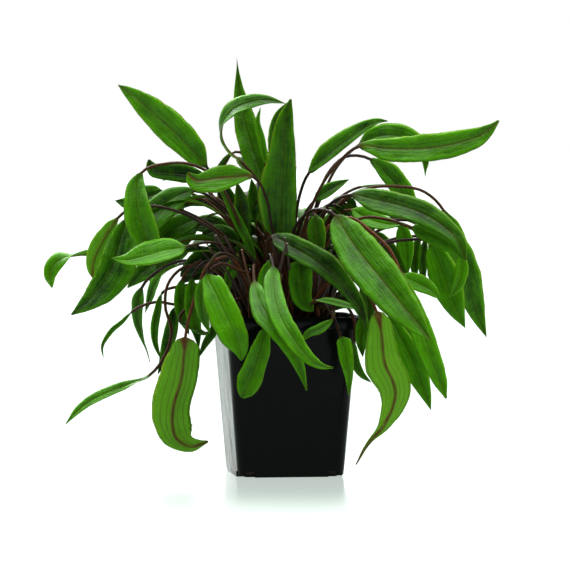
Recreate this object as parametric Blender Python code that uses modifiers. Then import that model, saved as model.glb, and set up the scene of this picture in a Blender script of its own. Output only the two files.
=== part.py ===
"""A potted cryptocoryne, grown out of the water, in a small square nursery pot.

The pot stands on the floor with the middle of its underside at the origin, +Z up, and its front
towards -Y. Each leaf is one solid: a round stalk that rises from the soil, flattens into a blade
with a raised midrib below, and ends in a point.

The leaf table gives every leaf as it looks from the front: how far across it is, how deep and how
high, in millimetres, seen from VIEW_DISTANCE away. Leaves that cross in that view are parted in
depth. The function that places a point then widens what lies further back, so that the plant
keeps its outline from the front.
"""

import math
from collections import defaultdict

import bmesh
import bpy
import numpy as np
from mathutils import Matrix, Vector

MM = 0.001

# The pot, in millimetres
POT_HEIGHT = 100.0
LIP_HALF = 45.0
LIP_HEIGHT = 8.0
LIP_SLOPE = 0.6
WALL_TOP_HALF = 41.0
BASE_HALF = 33.5
CORNER_RADIUS_TOP = 9.0
CORNER_RADIUS_BASE = 7.0
CORNER_SEGMENTS = 4
POT_WALL = 1.4
POT_YAW = 8.0

# The foot: a wide pad in the middle of each side, short corner feet and drain notches between them
FOOT_PAD_HALF = 23.0
NOTCH_WIDTH = 4.5
NOTCH_HEIGHT = 3.0
NOTCH_DEPTH = 4.5
NOTCH_OVERLAP = 1.0
CORNER_FOOT_LIFT = 0.9
CUTTER_MARGIN = 5.0

# The soil, with its gap to the pot and to the stalks
GAP = 0.3
SOIL_EDGE = 89.5
SOIL_SHOULDER_HALF = 34.5
SOIL_SHOULDER = 92.5
SOIL_FLAT_HALF = 32.0
SOIL_TOP = 94.0
SOIL_CORNER = 6.0
SOIL_CORNER_LEAST = 2.0

# The view from the front that the leaf table is written in
VIEW_DISTANCE = 2500.0
VIEW_HEIGHT = 200.0

# A leaf's sections, of five points each: margin, top, margin, rib and rib
MARGINS = (0, 2)
STALK_RADIUS = 1.0
STALK_SIDE = 0.62
STALK_BELOW = 0.85
RIB_HALF = 0.85
RIB_DEPTH = 0.8
RIB_TAPER = 0.6
BLADE_TOP = 0.12
BLADE_END_HALF = 0.35
BLADE_SHOULDER = 0.8
CUP = 0.16
FLATTENED_BY = 0.1

# The rings along a leaf
CURVE_POINTS = 24
STALK_STEP = 17.0
STALK_RINGS_LEAST = 4
TIP_CROWDING = 0.35
DIRECTION_REACH = 1.5

# The clump of stalks at the soil
FEET_PER_RANK = 6
CLUMP_WIDE = 25.0
CLUMP_DEEP = 24.0
CLUMP_ROUNDING = 0.5

# The parting of leaves that cross in the view from the front
LEAF_CLEARANCE = 2.5
LIP_CLEARANCE = 2.5
LIMIT_WEIGHT = 4.0
EVENING = 0.3
RETURN = 0.004
NEIGHBOUR_REACH = 2.2
SAMPLE_STEP = 2.2
BLADE_LEAST_HALF = 1.5
NECK = (94.0, 122.0)
PARTING_ROUNDS = 260

SPEC = {
    "pot": ((0.012, 0.014, 0.016), 0.28),
    "soil": ((0.020, 0.013, 0.008), 0.95),
    "leaf": ((0.060, 0.190, 0.020), 0.38),
}


def leaf(name, stalk, blade, width, face, widest=0.38, tip=1.0, rings=9):
    """One row of the leaf table. All lengths are in millimetres.

    stalk and blade are the points that the midrib passes through above the soil, the blade's first
    point being where it starts to widen. face is the way the upper side looks, at one or more
    places evenly spaced along the blade.
    """
    return dict(name=name, stalk=stalk, blade=blade, width=width, face=face, widest=widest,
                tip=tip, rings=rings)


LEAVES = [
    leaf("leaf_01", [(-14, 8, 128), (-28, 6, 160), (-42, 3, 183)],
         [(-49, 2, 193), (-62, -2, 208), (-78, -7, 223), (-93, -12, 236), (-105, -15, 245)],
         21, [(0.1, -1, 0.3)], widest=0.4, tip=0.8),
    leaf("leaf_02", [(-9, -6, 130), (-12, -7, 165), (-18, -9, 187)],
         [(-27, -12, 196), (-35.5, -16, 203), (-40, -18, 212), (-38.5, -20, 222), (-32.5, -20, 229.5),
          (-23.5, -19, 233.5), (-12, -18, 235.5), (1, -16, 233)],
         13.5, [(-0.6, 0, -0.7), (-1, 0, 0), (-0.3, -1, 0.6), (0.1, -1, 0.7)],
         widest=0.5, rings=12),
    leaf("leaf_03", [(-5, 4, 130), (-10, 5, 165)],
         [(-12, 7, 180), (-18.5, 10, 200), (-24.5, 14, 220), (-28.5, 18, 240), (-30, 21, 262)],
         18, [(0.3, -1, 0.2)], widest=0.3, tip=1.5, rings=10),
    leaf("leaf_04", [(1, -14, 115), (-1, -16, 135)],
         [(-2, -17, 147), (-1.5, -18, 168), (-1, -18, 188), (0, -18, 207), (0.8, -18, 222),
          (4, -17, 236)],
         22, [(0, -1, 0)], widest=0.34, tip=0.95, rings=10),
    leaf("leaf_05", [(2, 5, 130), (-2, 3, 168)],
         [(-5, 1, 184), (-5.5, -1, 200), (-4.5, -3, 214), (-2.5, -4, 226), (2, -5, 234)],
         11.5, [(-0.4, -1, 0.1)], widest=0.6),
    leaf("leaf_06", [(-3, -16, 125), (-8, -19, 155), (-13, -22, 178)],
         [(-20, -23, 187), (-32, -25, 187), (-45, -27, 186), (-56, -28, 185), (-61, -29, 190)],
         20, [(0, -1, 0.35)], widest=0.45, tip=0.8),
    leaf("leaf_07", [(-20, 16, 135), (-34, 20, 165), (-44, 22, 180)],
         [(-50, 24, 186), (-62, 26, 188.5), (-74, 27, 189.5), (-83, 28, 191.5), (-85.5, 28, 198)],
         13, [(0, -1, 0.1)], widest=0.6, tip=0.6),
    leaf("leaf_08", [(-22, -6, 140), (-36, -13, 175), (-50, -20, 192), (-66, -27, 195.5),
                     (-81, -33, 194)],
         [(-90, -36, 189.5), (-93.5, -40, 180), (-93, -44, 170), (-91, -47, 160), (-87, -50, 149),
          (-80, -53, 138)],
         16, [(-0.35, -1, 0.2)], widest=0.42),
    leaf("leaf_09", [(-24, 12, 140), (-45, 16, 168), (-64, 19, 178)],
         [(-76, 21, 177), (-88, 22, 174), (-98, 23, 170.5), (-107, 24, 172)],
         15, [(-0.1, -1, 0.3)]),
    leaf("leaf_10", [(-18, -1, 135), (-32, -3, 160), (-46, -6, 174)],
         [(-57, -9, 178), (-68, -12, 175), (-78, -15, 168), (-86, -18, 159), (-92, -20, 148)],
         20, [(-0.1, -1, 0.4)]),
    leaf("leaf_11", [(-28, -11, 135), (-52, -16, 158), (-78, -24, 168), (-92, -29, 167)],
         [(-99, -32, 160), (-104, -36, 146), (-108, -40, 132), (-115, -43, 119), (-124, -46, 108.5),
          (-134.5, -48, 100)],
         26, [(-0.15, -1, 0.1)], widest=0.45),
    leaf("leaf_12", [(-30, 8, 140), (-58, 8, 163), (-84, 8, 170), (-98, 8, 167)],
         [(-105, 8, 161), (-112, 8, 151), (-118, 7, 140), (-121, 6, 131), (-121, 5, 123)],
         13, [(-0.5, 1, 0.2)], widest=0.5, tip=0.7),
    leaf("leaf_13", [(-40, 22, 135), (-75, 33, 145), (-105, 40, 141)],
         [(-118, 41, 139), (-129, 41, 138), (-138, 40, 136.5), (-144.5, 37, 132.5), (-148, 34, 125.5),
          (-146.5, 31, 117)],
         11, [(0, 1, 0.8), (0.1, 0, 0.9), (0.3, -1, 0.3), (0.3, -1, 0.2)],
         widest=0.55, rings=11),
    leaf("leaf_14", [(-24, -20, 128), (-38, -32, 143), (-52, -41, 146)],
         [(-62, -46, 143), (-75, -53, 141), (-89, -61, 137), (-101, -65, 134.5), (-109, -67, 136)],
         18, [(-0.1, -1, 0.5)], widest=0.4),
    leaf("leaf_15", [(-24, -24, 118), (-32, -30, 134), (-41, -33, 138), (-49, -36, 130),
                     (-56, -38, 112), (-61, -39, 95)],
         [(-62.5, -39, 86), (-63.5, -39, 72), (-65.5, -39, 57), (-69.5, -39, 44), (-71, -39, 33),
          (-69, -39, 23), (-60, -38, 16.5), (-48, -37, 20)],
         26, [(0.1, 1, 0.1), (0.1, 1, 0), (0, 1, -0.2), (-0.2, 1, 0.8)], widest=0.42, tip=0.85,
         rings=13),
    leaf("leaf_16", [(-34, 0, 120), (-52, -4, 131), (-66, -9, 129), (-75, -14, 116),
                     (-75, -18, 103), (-71.5, -20, 92), (-73, -22, 80), (-79, -24, 69)],
         [(-85, -27, 62), (-97, -31, 57), (-110, -35, 52), (-122, -38, 46), (-131, -40, 39),
          (-138, -41, 31)],
         14, [(0.1, 0, 0.9)], widest=0.5),
    leaf("leaf_17", [(-40, 15, 128), (-65, 20, 134), (-82, 24, 126)],
         [(-90, 26, 117), (-92.5, 27, 107), (-92.5, 28, 98), (-90.5, 29, 88), (-87.5, 29, 79),
          (-85, 29, 70)],
         8, [(-0.2, -1, 0), (-0.7, -1, 0), (-1, 0, 0)], widest=0.25, tip=1.6),
    leaf("leaf_18", [(-34, 28, 122), (-50, 33, 139)],
         [(-60, 34, 141), (-74, 34, 136), (-88, 33, 128), (-99, 31, 117)],
         15, [(0, -1, 0.3)]),
    leaf("leaf_19", [(-24, 36, 130), (-36, 50, 152)],
         [(-46, 58, 159), (-60, 69, 156), (-72, 80, 147), (-80, 89, 132), (-84, 94, 116)],
         17, [(-0.3, 1, 0.8), (-0.5, 1, 0.2)]),
    leaf("leaf_20", [(-36, -4, 120), (-50, -6, 133), (-60, -8, 131)],
         [(-64.5, -9, 122), (-65, -10, 111), (-64, -11, 99), (-60, -12, 87)],
         10, [(0.1, -1, 0)], rings=8),
    leaf("leaf_21", [(-34, -15, 122), (-48, -20, 134), (-56, -22, 131)],
         [(-58, -23, 123), (-58.5, -24, 111), (-57.5, -25, 99), (-55, -26, 87), (-54, -26, 78)],
         10, [(0.1, -1, 0)], rings=8),
    leaf("leaf_22", [(-22, -30, 120), (-32, -38, 137), (-43, -45, 138)],
         [(-48.5, -49, 126), (-43, -56, 113), (-37, -61, 100), (-31.5, -64, 88), (-28, -64, 79),
          (-27, -64, 71)],
         26, [(0, -1, 0.15)], widest=0.5, tip=0.55),
    leaf("leaf_23", [(-7, -34, 107), (-9, -47, 110), (-11.5, -60, 101)],
         [(-13, -65, 91), (-14.5, -67, 81), (-17.5, -67, 70), (-21, -67, 60), (-27, -68, 47.5)],
         18, [(0, -1, 0.1)], widest=0.6, tip=0.4, rings=8),
    leaf("leaf_24", [(-15, -24, 118), (-19, -33, 132)],
         [(-19, -46, 121), (-15.5, -60, 109), (-9, -71, 98), (-1, -77, 87), (6, -78, 75),
          (11, -78, 63), (14, -78, 52)],
         14, [(-0.1, -1, 0.2)], widest=0.4, tip=1.3, rings=10),
    leaf("leaf_25", [(-7, -28, 118), (-10, -34, 134), (-9, -42, 139)],
         [(-7, -52, 130), (-6, -68, 112), (-2, -79, 98), (5, -85, 86), (13, -88, 75),
          (22, -88, 68), (31, -86, 66.5)],
         17, [(0.1, -1, 0.2)], widest=0.4, tip=1.1, rings=10),
    leaf("leaf_26", [(-30, 22, 132), (-44, 22, 153)],
         [(-53, 20, 160), (-64, 17, 157), (-75, 14, 151), (-84, 12, 142)],
         16, [(0, -1, 0.3)]),
    leaf("leaf_27", [(6, 0, 130), (7, 0, 160), (10.5, -1, 179)],
         [(15.5, -2, 189.5), (25, -4, 199), (37, -6, 208.5), (48.5, -8, 216.5), (58, -9, 221.5),
          (65, -9, 222)],
         15, [(-0.3, -1, 0.4)], widest=0.45),
    leaf("leaf_28", [(13, 15, 140), (25, 19, 178), (38, 23, 200)],
         [(47, 26, 207), (58, 29, 212.5), (70, 33, 213), (81, 36, 209), (88, 37, 200), (88.5, 37, 186)],
         16, [(0, -1, 0.4), (0.3, -1, 0.2)], widest=0.4, tip=1.4, rings=10),
    leaf("leaf_29", [(10, -5, 140), (20, -8, 175), (33, -12, 195)],
         [(47, -15, 206), (62, -20, 205), (80, -26, 204.5), (98, -32, 206), (113, -36, 209.5),
          (125, -39, 214), (135, -41, 222.5)],
         20, [(0, -1, 0.25)], widest=0.45, rings=10),
    leaf("leaf_30", [(15, 8, 140), (22, 9, 176), (33, 10, 197), (45, 11, 200.5)],
         [(54, 12, 198), (63, 14, 190.5), (71, 16, 181.5), (78, 18, 171.5), (82, 19, 160)],
         16.5, [(0.3, -1, 0.2)]),
    leaf("leaf_31", [(15, -9, 135), (22, -11, 160), (32, -14, 173)],
         [(42, -17, 175.5), (57, -22, 173), (72, -27, 169.5), (87, -32, 164), (100, -36, 156),
          (110, -39, 146), (114, -41, 134)],
         22, [(0.1, -1, 0.45)], widest=0.4, rings=10),
    leaf("leaf_32", [(24, 0, 140), (45, -6, 160), (65, -13, 160)],
         [(80, -19, 155), (92, -23, 151), (104, -26, 144), (113, -28, 134.5)],
         13, [(0, -1, -0.3)], rings=8),
    leaf("leaf_33", [(20, 3, 140), (32, 4, 168), (50, 6, 179), (70, 9, 181), (86, 11, 178.5),
                     (95, 12, 173)],
         [(100, 13, 166), (104, 14, 157), (107.5, 15, 146), (112, 16, 132), (116.5, 17, 116),
          (121.5, 18, 100), (127.5, 18, 85.5)],
         20, [(0.5, -1, 0.1)], widest=0.5, rings=10),
    leaf("leaf_34", [(40, 5, 148), (72, -4, 160), (98, -14, 154), (107, -18, 146)],
         [(111, -20, 138), (111.5, -21, 128), (109.5, -22, 120), (106.5, -22, 114), (102.5, -22, 110.5)],
         9, [(0.2, -1, 0.1)], rings=8),
    leaf("leaf_35", [(32, -7, 130), (50, -8, 141), (67, -9, 145), (80, -10, 148),
                               (88, -11, 148.5)],
         [(92, -12, 145), (96, -13, 136), (100, -14, 126), (103.5, -14, 116), (108, -15, 104),
          (114, -15, 91.5)],
         20, [(0, -1, 0.1)], widest=0.42),
    leaf("leaf_36", [(28, -17, 125), (46, -24, 136), (64, -29, 132)],
         [(74, -30, 125), (83, -31, 120.5), (91, -32, 116.5), (98, -32, 110)],
         12, [(0, -1, 0.5)], tip=0.8, rings=8),
    leaf("leaf_37", [(1, -14, 130), (5, -22, 152), (14, -32, 164), (24, -40, 167)],
         [(32, -46, 162.5), (40, -53, 150), (50, -61, 136), (61, -68, 123), (72, -74, 109),
          (82, -78, 97), (92, -81, 84)],
         30, [(0.15, -1, 0.25)], widest=0.42, rings=10),
    leaf("leaf_38", [(20, -20, 135), (31, -30, 159), (43, -37, 161), (54, -42, 153),
                     (64, -46, 144), (70, -48, 135)],
         [(73, -49, 127), (78, -50, 114), (84, -51, 99), (88.5, -53, 85), (93, -54, 71),
          (98, -54, 58), (102, -56, 47)],
         18, [(0.2, -1, 0.1)], widest=0.5, rings=10),
    leaf("leaf_39", [(34, -14, 125), (48, -21, 126), (60, -27, 113)],
         [(66, -31, 100), (73, -34, 86), (80, -36, 72), (85, -37, 60), (89, -38, 50), (92.5, -38, 39.5)],
         15, [(0.1, -1, 0)], widest=0.5),
    leaf("leaf_40", [(25, -32, 117), (39, -42, 124), (51, -48, 115)],
         [(58, -50, 102), (61, -53, 90), (62, -54, 78), (64, -56, 67), (68.5, -57, 58), (70, -57, 48),
          (67, -58, 39.5), (61.5, -60, 28.5), (53, -60, 19), (45, -60, 5)],
         27, [(-0.1, 1, 0.1)], widest=0.34, tip=2.8, rings=14),
    leaf("leaf_41", [(18, -28, 106), (25, -38, 107), (31, -46, 98)],
         [(35.5, -51, 86), (38, -54, 78), (40, -56, 68), (41, -56, 58), (40.5, -56, 49)],
         12, [(0, -1, 0.1)], widest=0.3, rings=8),
    leaf("leaf_42", [(-6, -22, 115), (-11, -28, 136)],
         [(-8, -36, 149), (5, -42, 143), (20, -46, 134), (33, -49, 123), (43, -51, 111),
          (49, -53, 100), (51.5, -53, 90)],
         16, [(0, -1, 0.5)], widest=0.35, tip=1.2, rings=10),
    leaf("leaf_43", [(6, -24, 118), (8, -25, 134), (9, -31, 140)],
         [(10, -37, 134), (10.5, -39, 121), (13, -40, 110), (18, -41, 102)],
         16, [(0.1, -1, 0)], rings=8),
    leaf("leaf_44", [(12, -20, 135), (16, -25, 158)],
         [(19.5, -28, 163), (20, -30, 154), (21, -31, 144), (23, -31, 134)],
         12, [(0, -1, 0)], rings=7),
    leaf("leaf_45", [(38, 14, 140), (55, 9, 153), (68, 4, 160)],
         [(73, -1, 157), (75.5, -2, 147), (77, -3, 137), (78, -3, 126)],
         11, [(0, -1, 0)], rings=7),
    leaf("leaf_46", [(23, 4, 145), (33, 0, 163)],
         [(42, -4, 166), (52, -6, 161), (63, -8, 157.5), (75, -10, 157)],
         14, [(0, -1, 0.65)], rings=8),
    leaf("leaf_47", [(-12, 28, 140), (-16, 38, 160)],
         [(-18, 47, 170), (-22, 64, 178), (-26, 83, 174), (-28, 100, 160), (-29, 111, 142)],
         17, [(0, 0, 1), (0, 1, 0.3)]),
    leaf("leaf_48", [(2, 20, 140), (2, 24, 165)],
         [(1, 28, 182), (0, 38, 198), (-1, 52, 208), (-1, 69, 210), (-2, 86, 202), (-3, 97, 188)],
         15, [(0, 0, 1), (0, 0, 1), (0, 1, 0.3)]),
    leaf("leaf_49", [(10, 36, 132), (13, 55, 149)],
         [(15, 69, 153), (18, 86, 147), (20, 103, 132), (20, 111, 114), (20, 114, 98)],
         17, [(0, 0, 1), (0, 1, 0.2)]),
    leaf("leaf_50", [(26, 30, 128), (37, 47, 143)],
         [(46, 58, 146), (56, 72, 139), (64, 86, 124), (68, 94, 106), (70, 100, 90)],
         18, [(0.3, 0, 0.8), (0.5, 1, 0.2)]),
    leaf("leaf_51", [(36, 22, 135), (54, 30, 154)],
         [(68, 37, 161), (82, 44, 158), (94, 51, 147), (102, 55, 131), (106, 58, 114)],
         17, [(0.2, 0, 0.9), (0.8, 0, 0.3)]),
    leaf("leaf_52", [(6, 41, 116), (8, 58, 124)],
         [(10, 69, 122), (13, 82, 110), (15, 90, 94), (16, 94, 78), (16, 96, 62)],
         15, [(0, 1, 0.8), (0, 1, 0.1)]),
    leaf("leaf_53", [(-26, 36, 116), (-30, 52, 124)],
         [(-34, 64, 122), (-39, 76, 112), (-43, 83, 100), (-45, 87, 88)],
         13, [(-0.2, 1, 0.8), (-0.3, 1, 0.1)]),
    leaf("leaf_54", [(-40, 24, 120), (-56, 30, 132)],
         [(-66, 36, 132), (-76, 41, 127), (-82, 44, 119), (-85, 47, 110), (-88, 48, 101)],
         9, [(-0.2, 0, 0.8), (-0.3, -1, 0.2)]),
    leaf("leaf_55", [(5, 8, 135), (12, 8, 162)],
         [(19, 7, 172), (26, 6, 177.5), (34, 5, 182), (41, 4, 185.5)],
         9, [(0, -1, 0.6)], rings=7),
    leaf("leaf_56", [(-26, -14, 120)],
         [(-29.5, -18, 138), (-33, -22, 129), (-35.5, -25, 121), (-34.5, -27, 113)],
         8, [(0.3, -1, 0)], rings=7),
    leaf("leaf_57", [(38, 30, 118), (50, 41, 124)],
         [(58, 47, 120), (68, 55, 108), (74, 61, 92), (77, 64, 76), (78, 65, 62)],
         15, [(0.4, 0, 0.8), (0.8, 1, 0.1)]),
    leaf("leaf_58", [(33, -28, 108), (43, -38, 112)],
         [(49.5, -46, 100), (49, -49, 91), (48.5, -50, 82), (49.5, -50, 73)],
         9, [(0, -1, 0)], rings=7),
]


def clear_scene():
    for existing in list(bpy.context.scene.objects):
        bpy.data.objects.remove(existing, do_unlink=True)


def new_collection(name):
    collection = bpy.data.collections.new(name)
    bpy.context.scene.collection.children.link(collection)
    return collection


def material(name, kind):
    colour, roughness = SPEC[kind]
    made = bpy.data.materials.new(name)
    made.use_nodes = True
    shader = made.node_tree.nodes["Principled BSDF"]
    shader.inputs["Base Color"].default_value = (*colour, 1.0)
    shader.inputs["Roughness"].default_value = roughness
    shader.inputs["Metallic"].default_value = 0.0
    made.diffuse_color = (*colour, 1.0)
    return made


def add_object(name, mesh, collection):
    made = bpy.data.objects.new(name, mesh)
    collection.objects.link(made)
    return made


def loft(name, rings, cap_ends=True, edges=()):
    """A mesh through rings of equally many points, or to a single point, given in metres.

    Beside the points listed in edges the faces are split from those points, on both sides alike,
    so that the two sides of a thin edge don't cross where it twists.
    """
    shape = bmesh.new()
    rows = [[shape.verts.new(point) for point in ring] for ring in rings]
    for lower, upper in zip(rows, rows[1:]):
        for k in range(len(lower)):
            after = (k + 1) % len(lower)
            if len(upper) == 1:
                shape.faces.new([lower[k], lower[after], upper[0]])
            elif k in edges:
                shape.faces.new([lower[k], lower[after], upper[after]])
                shape.faces.new([lower[k], upper[after], upper[k]])
            elif after in edges:
                shape.faces.new([lower[k], lower[after], upper[k]])
                shape.faces.new([lower[after], upper[after], upper[k]])
            else:
                shape.faces.new([lower[k], lower[after], upper[after], upper[k]])
    shape.faces.new(list(reversed(rows[0])))
    if cap_ends and len(rows[-1]) > 1:
        shape.faces.new(rows[-1])
    if cap_ends:
        bmesh.ops.recalc_face_normals(shape, faces=shape.faces)
    mesh = bpy.data.meshes.new(name)
    shape.to_mesh(mesh)
    shape.free()
    return mesh


def rounded_square(half, radius, height):
    """A ring of points, in metres, anticlockwise seen from above."""
    ring = []
    for across, deep in ((1, 1), (-1, 1), (-1, -1), (1, -1)):
        start = math.atan2(deep, across) - math.pi / 4
        for k in range(CORNER_SEGMENTS + 1):
            turn = start + math.pi / 2 * k / CORNER_SEGMENTS
            x = across * (half - radius) + radius * math.cos(turn)
            y = deep * (half - radius) + radius * math.sin(turn)
            ring.append((x * MM, y * MM, height * MM))
    return ring


def make_pot(collection, cutters):
    """The pot: an open skin with a thickness, and a foot cut from below."""
    wall_top = POT_HEIGHT - LIP_HEIGHT
    lip_radius = CORNER_RADIUS_TOP + LIP_HALF - WALL_TOP_HALF
    rings = [
        rounded_square(BASE_HALF, CORNER_RADIUS_BASE, 0.0),
        rounded_square(WALL_TOP_HALF, CORNER_RADIUS_TOP, wall_top),
        rounded_square(LIP_HALF, lip_radius, wall_top + LIP_SLOPE),
        rounded_square(LIP_HALF, lip_radius, POT_HEIGHT),
    ]
    pot = add_object("pot", loft("pot", rings, cap_ends=False), collection)
    pot.data.materials.append(material("pot_plastic", "pot"))
    shell = pot.modifiers.new("wall", "SOLIDIFY")
    shell.thickness = POT_WALL * MM
    shell.offset = -1.0
    shell.use_even_offset = True
    cut = pot.modifiers.new("foot", "BOOLEAN")
    cut.operation = "DIFFERENCE"
    cut.use_self = True
    cut.object = make_foot_cutter(cutters)
    pot.rotation_euler.z = math.radians(POT_YAW)
    return pot


def make_foot_cutter(cutters):
    """Boxes that lift the four corner feet and open a drain notch beside each of them."""
    shape = bmesh.new()
    inner = FOOT_PAD_HALF
    outer = FOOT_PAD_HALF + NOTCH_WIDTH
    past = BASE_HALF + CUTTER_MARGIN
    back = BASE_HALF - NOTCH_DEPTH
    for turn in range(4):
        quarter = math.radians(90.0 * turn)
        corner = outer - NOTCH_OVERLAP
        add_box(shape, (corner, corner, -CUTTER_MARGIN), (past, past, CORNER_FOOT_LIFT), quarter)
        add_box(shape, (inner, back, -CUTTER_MARGIN), (outer, past, NOTCH_HEIGHT), quarter)
        add_box(shape, (-outer, back, -CUTTER_MARGIN), (-inner, past, NOTCH_HEIGHT), quarter)
    mesh = bpy.data.meshes.new("foot_cutter")
    shape.to_mesh(mesh)
    shape.free()
    cutter = add_object("foot_cutter", mesh, cutters)
    cutter.rotation_euler.z = math.radians(POT_YAW)
    cutter.hide_render = True
    cutter.display_type = "WIRE"
    return cutter


def add_box(shape, low, high, turn):
    """A box between two corners in millimetres, turned about the pot's axis."""
    made = bmesh.ops.create_cube(shape, size=1.0)["verts"]
    size = [(high[k] - low[k]) * MM for k in range(3)]
    centre = [(high[k] + low[k]) * MM / 2 for k in range(3)]
    stand = Matrix.Translation(centre) @ Matrix.Diagonal((*size, 1.0))
    bmesh.ops.transform(shape, matrix=Matrix.Rotation(turn, 4, "Z") @ stand, verts=made)


def make_soil(collection):
    """The soil: it fills the pot to just below the rim and is firmed flat around the stalks."""
    rings = [
        soil_ring_at_wall(POT_WALL + GAP),
        soil_ring_at_wall(SOIL_EDGE),
        rounded_square(SOIL_SHOULDER_HALF, SOIL_CORNER, SOIL_SHOULDER),
        rounded_square(SOIL_FLAT_HALF, SOIL_CORNER, SOIL_TOP),
    ]
    soil = add_object("soil", loft("soil", rings), collection)
    soil.data.materials.append(material("soil_mix", "soil"))
    soil.rotation_euler.z = math.radians(POT_YAW)
    return soil


def soil_ring_at_wall(height):
    """The soil's outline at one height, a gap inside the pot's sloping wall."""
    wall_height = POT_HEIGHT - LIP_HEIGHT
    slope = (WALL_TOP_HALF - BASE_HALF) / wall_height
    inset = POT_WALL * math.hypot(1.0, slope) + GAP
    rounding = (CORNER_RADIUS_TOP - CORNER_RADIUS_BASE) * height / wall_height
    radius = max(CORNER_RADIUS_BASE + rounding - inset, SOIL_CORNER_LEAST)
    return rounded_square(BASE_HALF + slope * height - inset, radius, height)


def smooth_curve(points):
    """A smooth path through the points, as a dense row of points."""
    given = [np.array(point, float) for point in points]
    row = [2 * given[0] - given[1]] + given + [2 * given[-1] - given[-2]]
    dense = []
    for k in range(1, len(row) - 2):
        knots = [0.0]
        for a, b in zip(row[k - 1:k + 2], row[k:k + 3]):
            knots.append(knots[-1] + np.linalg.norm(b - a) ** 0.5)
        for t in np.linspace(knots[1], knots[2], CURVE_POINTS, endpoint=False):
            dense.append(curve_point(row[k - 1:k + 3], knots, t))
    dense.append(given[-1])
    return np.array(dense)


def curve_point(points, knots, t):
    """A point of the centripetal Catmull-Rom curve between the second and the third point."""
    def between(a, b, start, end):
        return ((knots[end] - t) * a + (t - knots[start]) * b) / (knots[end] - knots[start])

    first = between(points[0], points[1], 0, 1)
    middle = between(points[1], points[2], 1, 2)
    last = between(points[2], points[3], 2, 3)
    return between(between(first, middle, 0, 2), between(middle, last, 1, 3), 1, 2)


def blade_profile(share, widest, tip):
    """The blade's half width along it, from 0 at its base to 1 where it is widest."""
    if share < widest:
        return math.sin(math.pi / 2 * share / widest) ** BLADE_SHOULDER
    return math.cos(math.pi / 2 * (share - widest) / (1.0 - widest)) ** tip


def seen_height(depth, height):
    """The height at which a point of a given real height is seen, at a given depth."""
    return VIEW_HEIGHT + (height - VIEW_HEIGHT) / (1.0 + depth / VIEW_DISTANCE)


def set_out_feet(rows):
    """Where each stalk leaves the soil: in ranks from front to back, as the stalks stand above.

    Within a rank the feet follow the way the stalks lean, from left to right.
    """
    from_front = sorted(range(len(rows)), key=lambda number: rows[number]["stalk"][0][1])
    ranks = [from_front[k:k + FEET_PER_RANK] for k in range(0, len(rows), FEET_PER_RANK)]
    feet = {}
    for depth, rank in zip(np.linspace(-CLUMP_DEEP, CLUMP_DEEP, len(ranks)), ranks):
        reach = CLUMP_WIDE * math.sqrt(1.0 - CLUMP_ROUNDING * (depth / CLUMP_DEEP) ** 2)
        from_left = sorted(rank, key=lambda number: rows[number]["stalk"][0][0])
        for across, number in zip(np.linspace(-reach, reach, len(rank)), from_left):
            feet[number] = (across, depth, seen_height(depth, SOIL_TOP + GAP))
    return [feet[number] for number in range(len(rows))]


def leaf_stations(row, foot):
    """The midrib's points and directions where the leaf's rings stand, and their blade shares.

    A share runs from 0 at the blade's base to 1 at its tip, and is None along the stalk.
    """
    dense = smooth_curve([foot] + list(row["stalk"]) + list(row["blade"]))
    steps = np.linalg.norm(np.diff(dense, axis=0), axis=1)
    along = np.concatenate([[0.0], np.cumsum(steps)])
    base = along[CURVE_POINTS * (len(row["stalk"]) + 1)]
    total = along[-1]
    stalk_rings = max(STALK_RINGS_LEAST, round(base / STALK_STEP))
    even = np.linspace(0.0, 1.0, row["rings"] + 1)
    shares = even + TIP_CROWDING * ((1.0 - np.cos(math.pi * even)) / 2 - even)
    places = np.concatenate([base * np.arange(stalk_rings) / stalk_rings,
                             base + shares * (total - base)])

    def points_at(distances):
        inside = np.clip(distances, 0.0, total)
        return np.stack([np.interp(inside, along, dense[:, axis]) for axis in range(3)], axis=1)

    direction = points_at(places + DIRECTION_REACH) - points_at(places - DIRECTION_REACH)
    direction /= np.linalg.norm(direction, axis=1)[:, None]
    return points_at(places), direction, [None] * stalk_rings + list(shares)


def facing(row, share):
    """The way the upper side looks, part way along the blade."""
    keys = np.array(row["face"], float)
    place = share * (len(keys) - 1)
    lower = min(int(place), len(keys) - 1)
    upper = min(lower + 1, len(keys) - 1)
    return keys[lower] + (place - lower) * (keys[upper] - keys[lower])


def leaf_section(row, share):
    """A ring's five points, across and up from the midrib."""
    radius = STALK_RADIUS
    side = STALK_SIDE * radius
    below = -STALK_BELOW * radius
    stalk = np.array([(-radius, 0.0), (0.0, radius), (radius, 0.0), (side, below), (-side, below)])
    if share is None:
        return stalk
    profile = blade_profile(share, row["widest"], row["tip"])
    half = max(row["width"] / 2 * profile, BLADE_END_HALF)
    rise = CUP * half
    rib = min(RIB_HALF * (1.0 - RIB_TAPER * share), half / 2)
    depth = -RIB_DEPTH * (1.0 - RIB_TAPER * share)
    blade = np.array([(-half, rise), (0.0, BLADE_TOP), (half, rise), (rib, depth), (-rib, depth)])
    flat = min(share / FLATTENED_BY, 1.0)
    mixed = (1.0 - flat) * stalk + flat * blade
    mixed[[0, 2], 0] = np.array([-1.0, 1.0]) * max(half, radius * (1.0 - flat))
    return mixed


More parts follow.
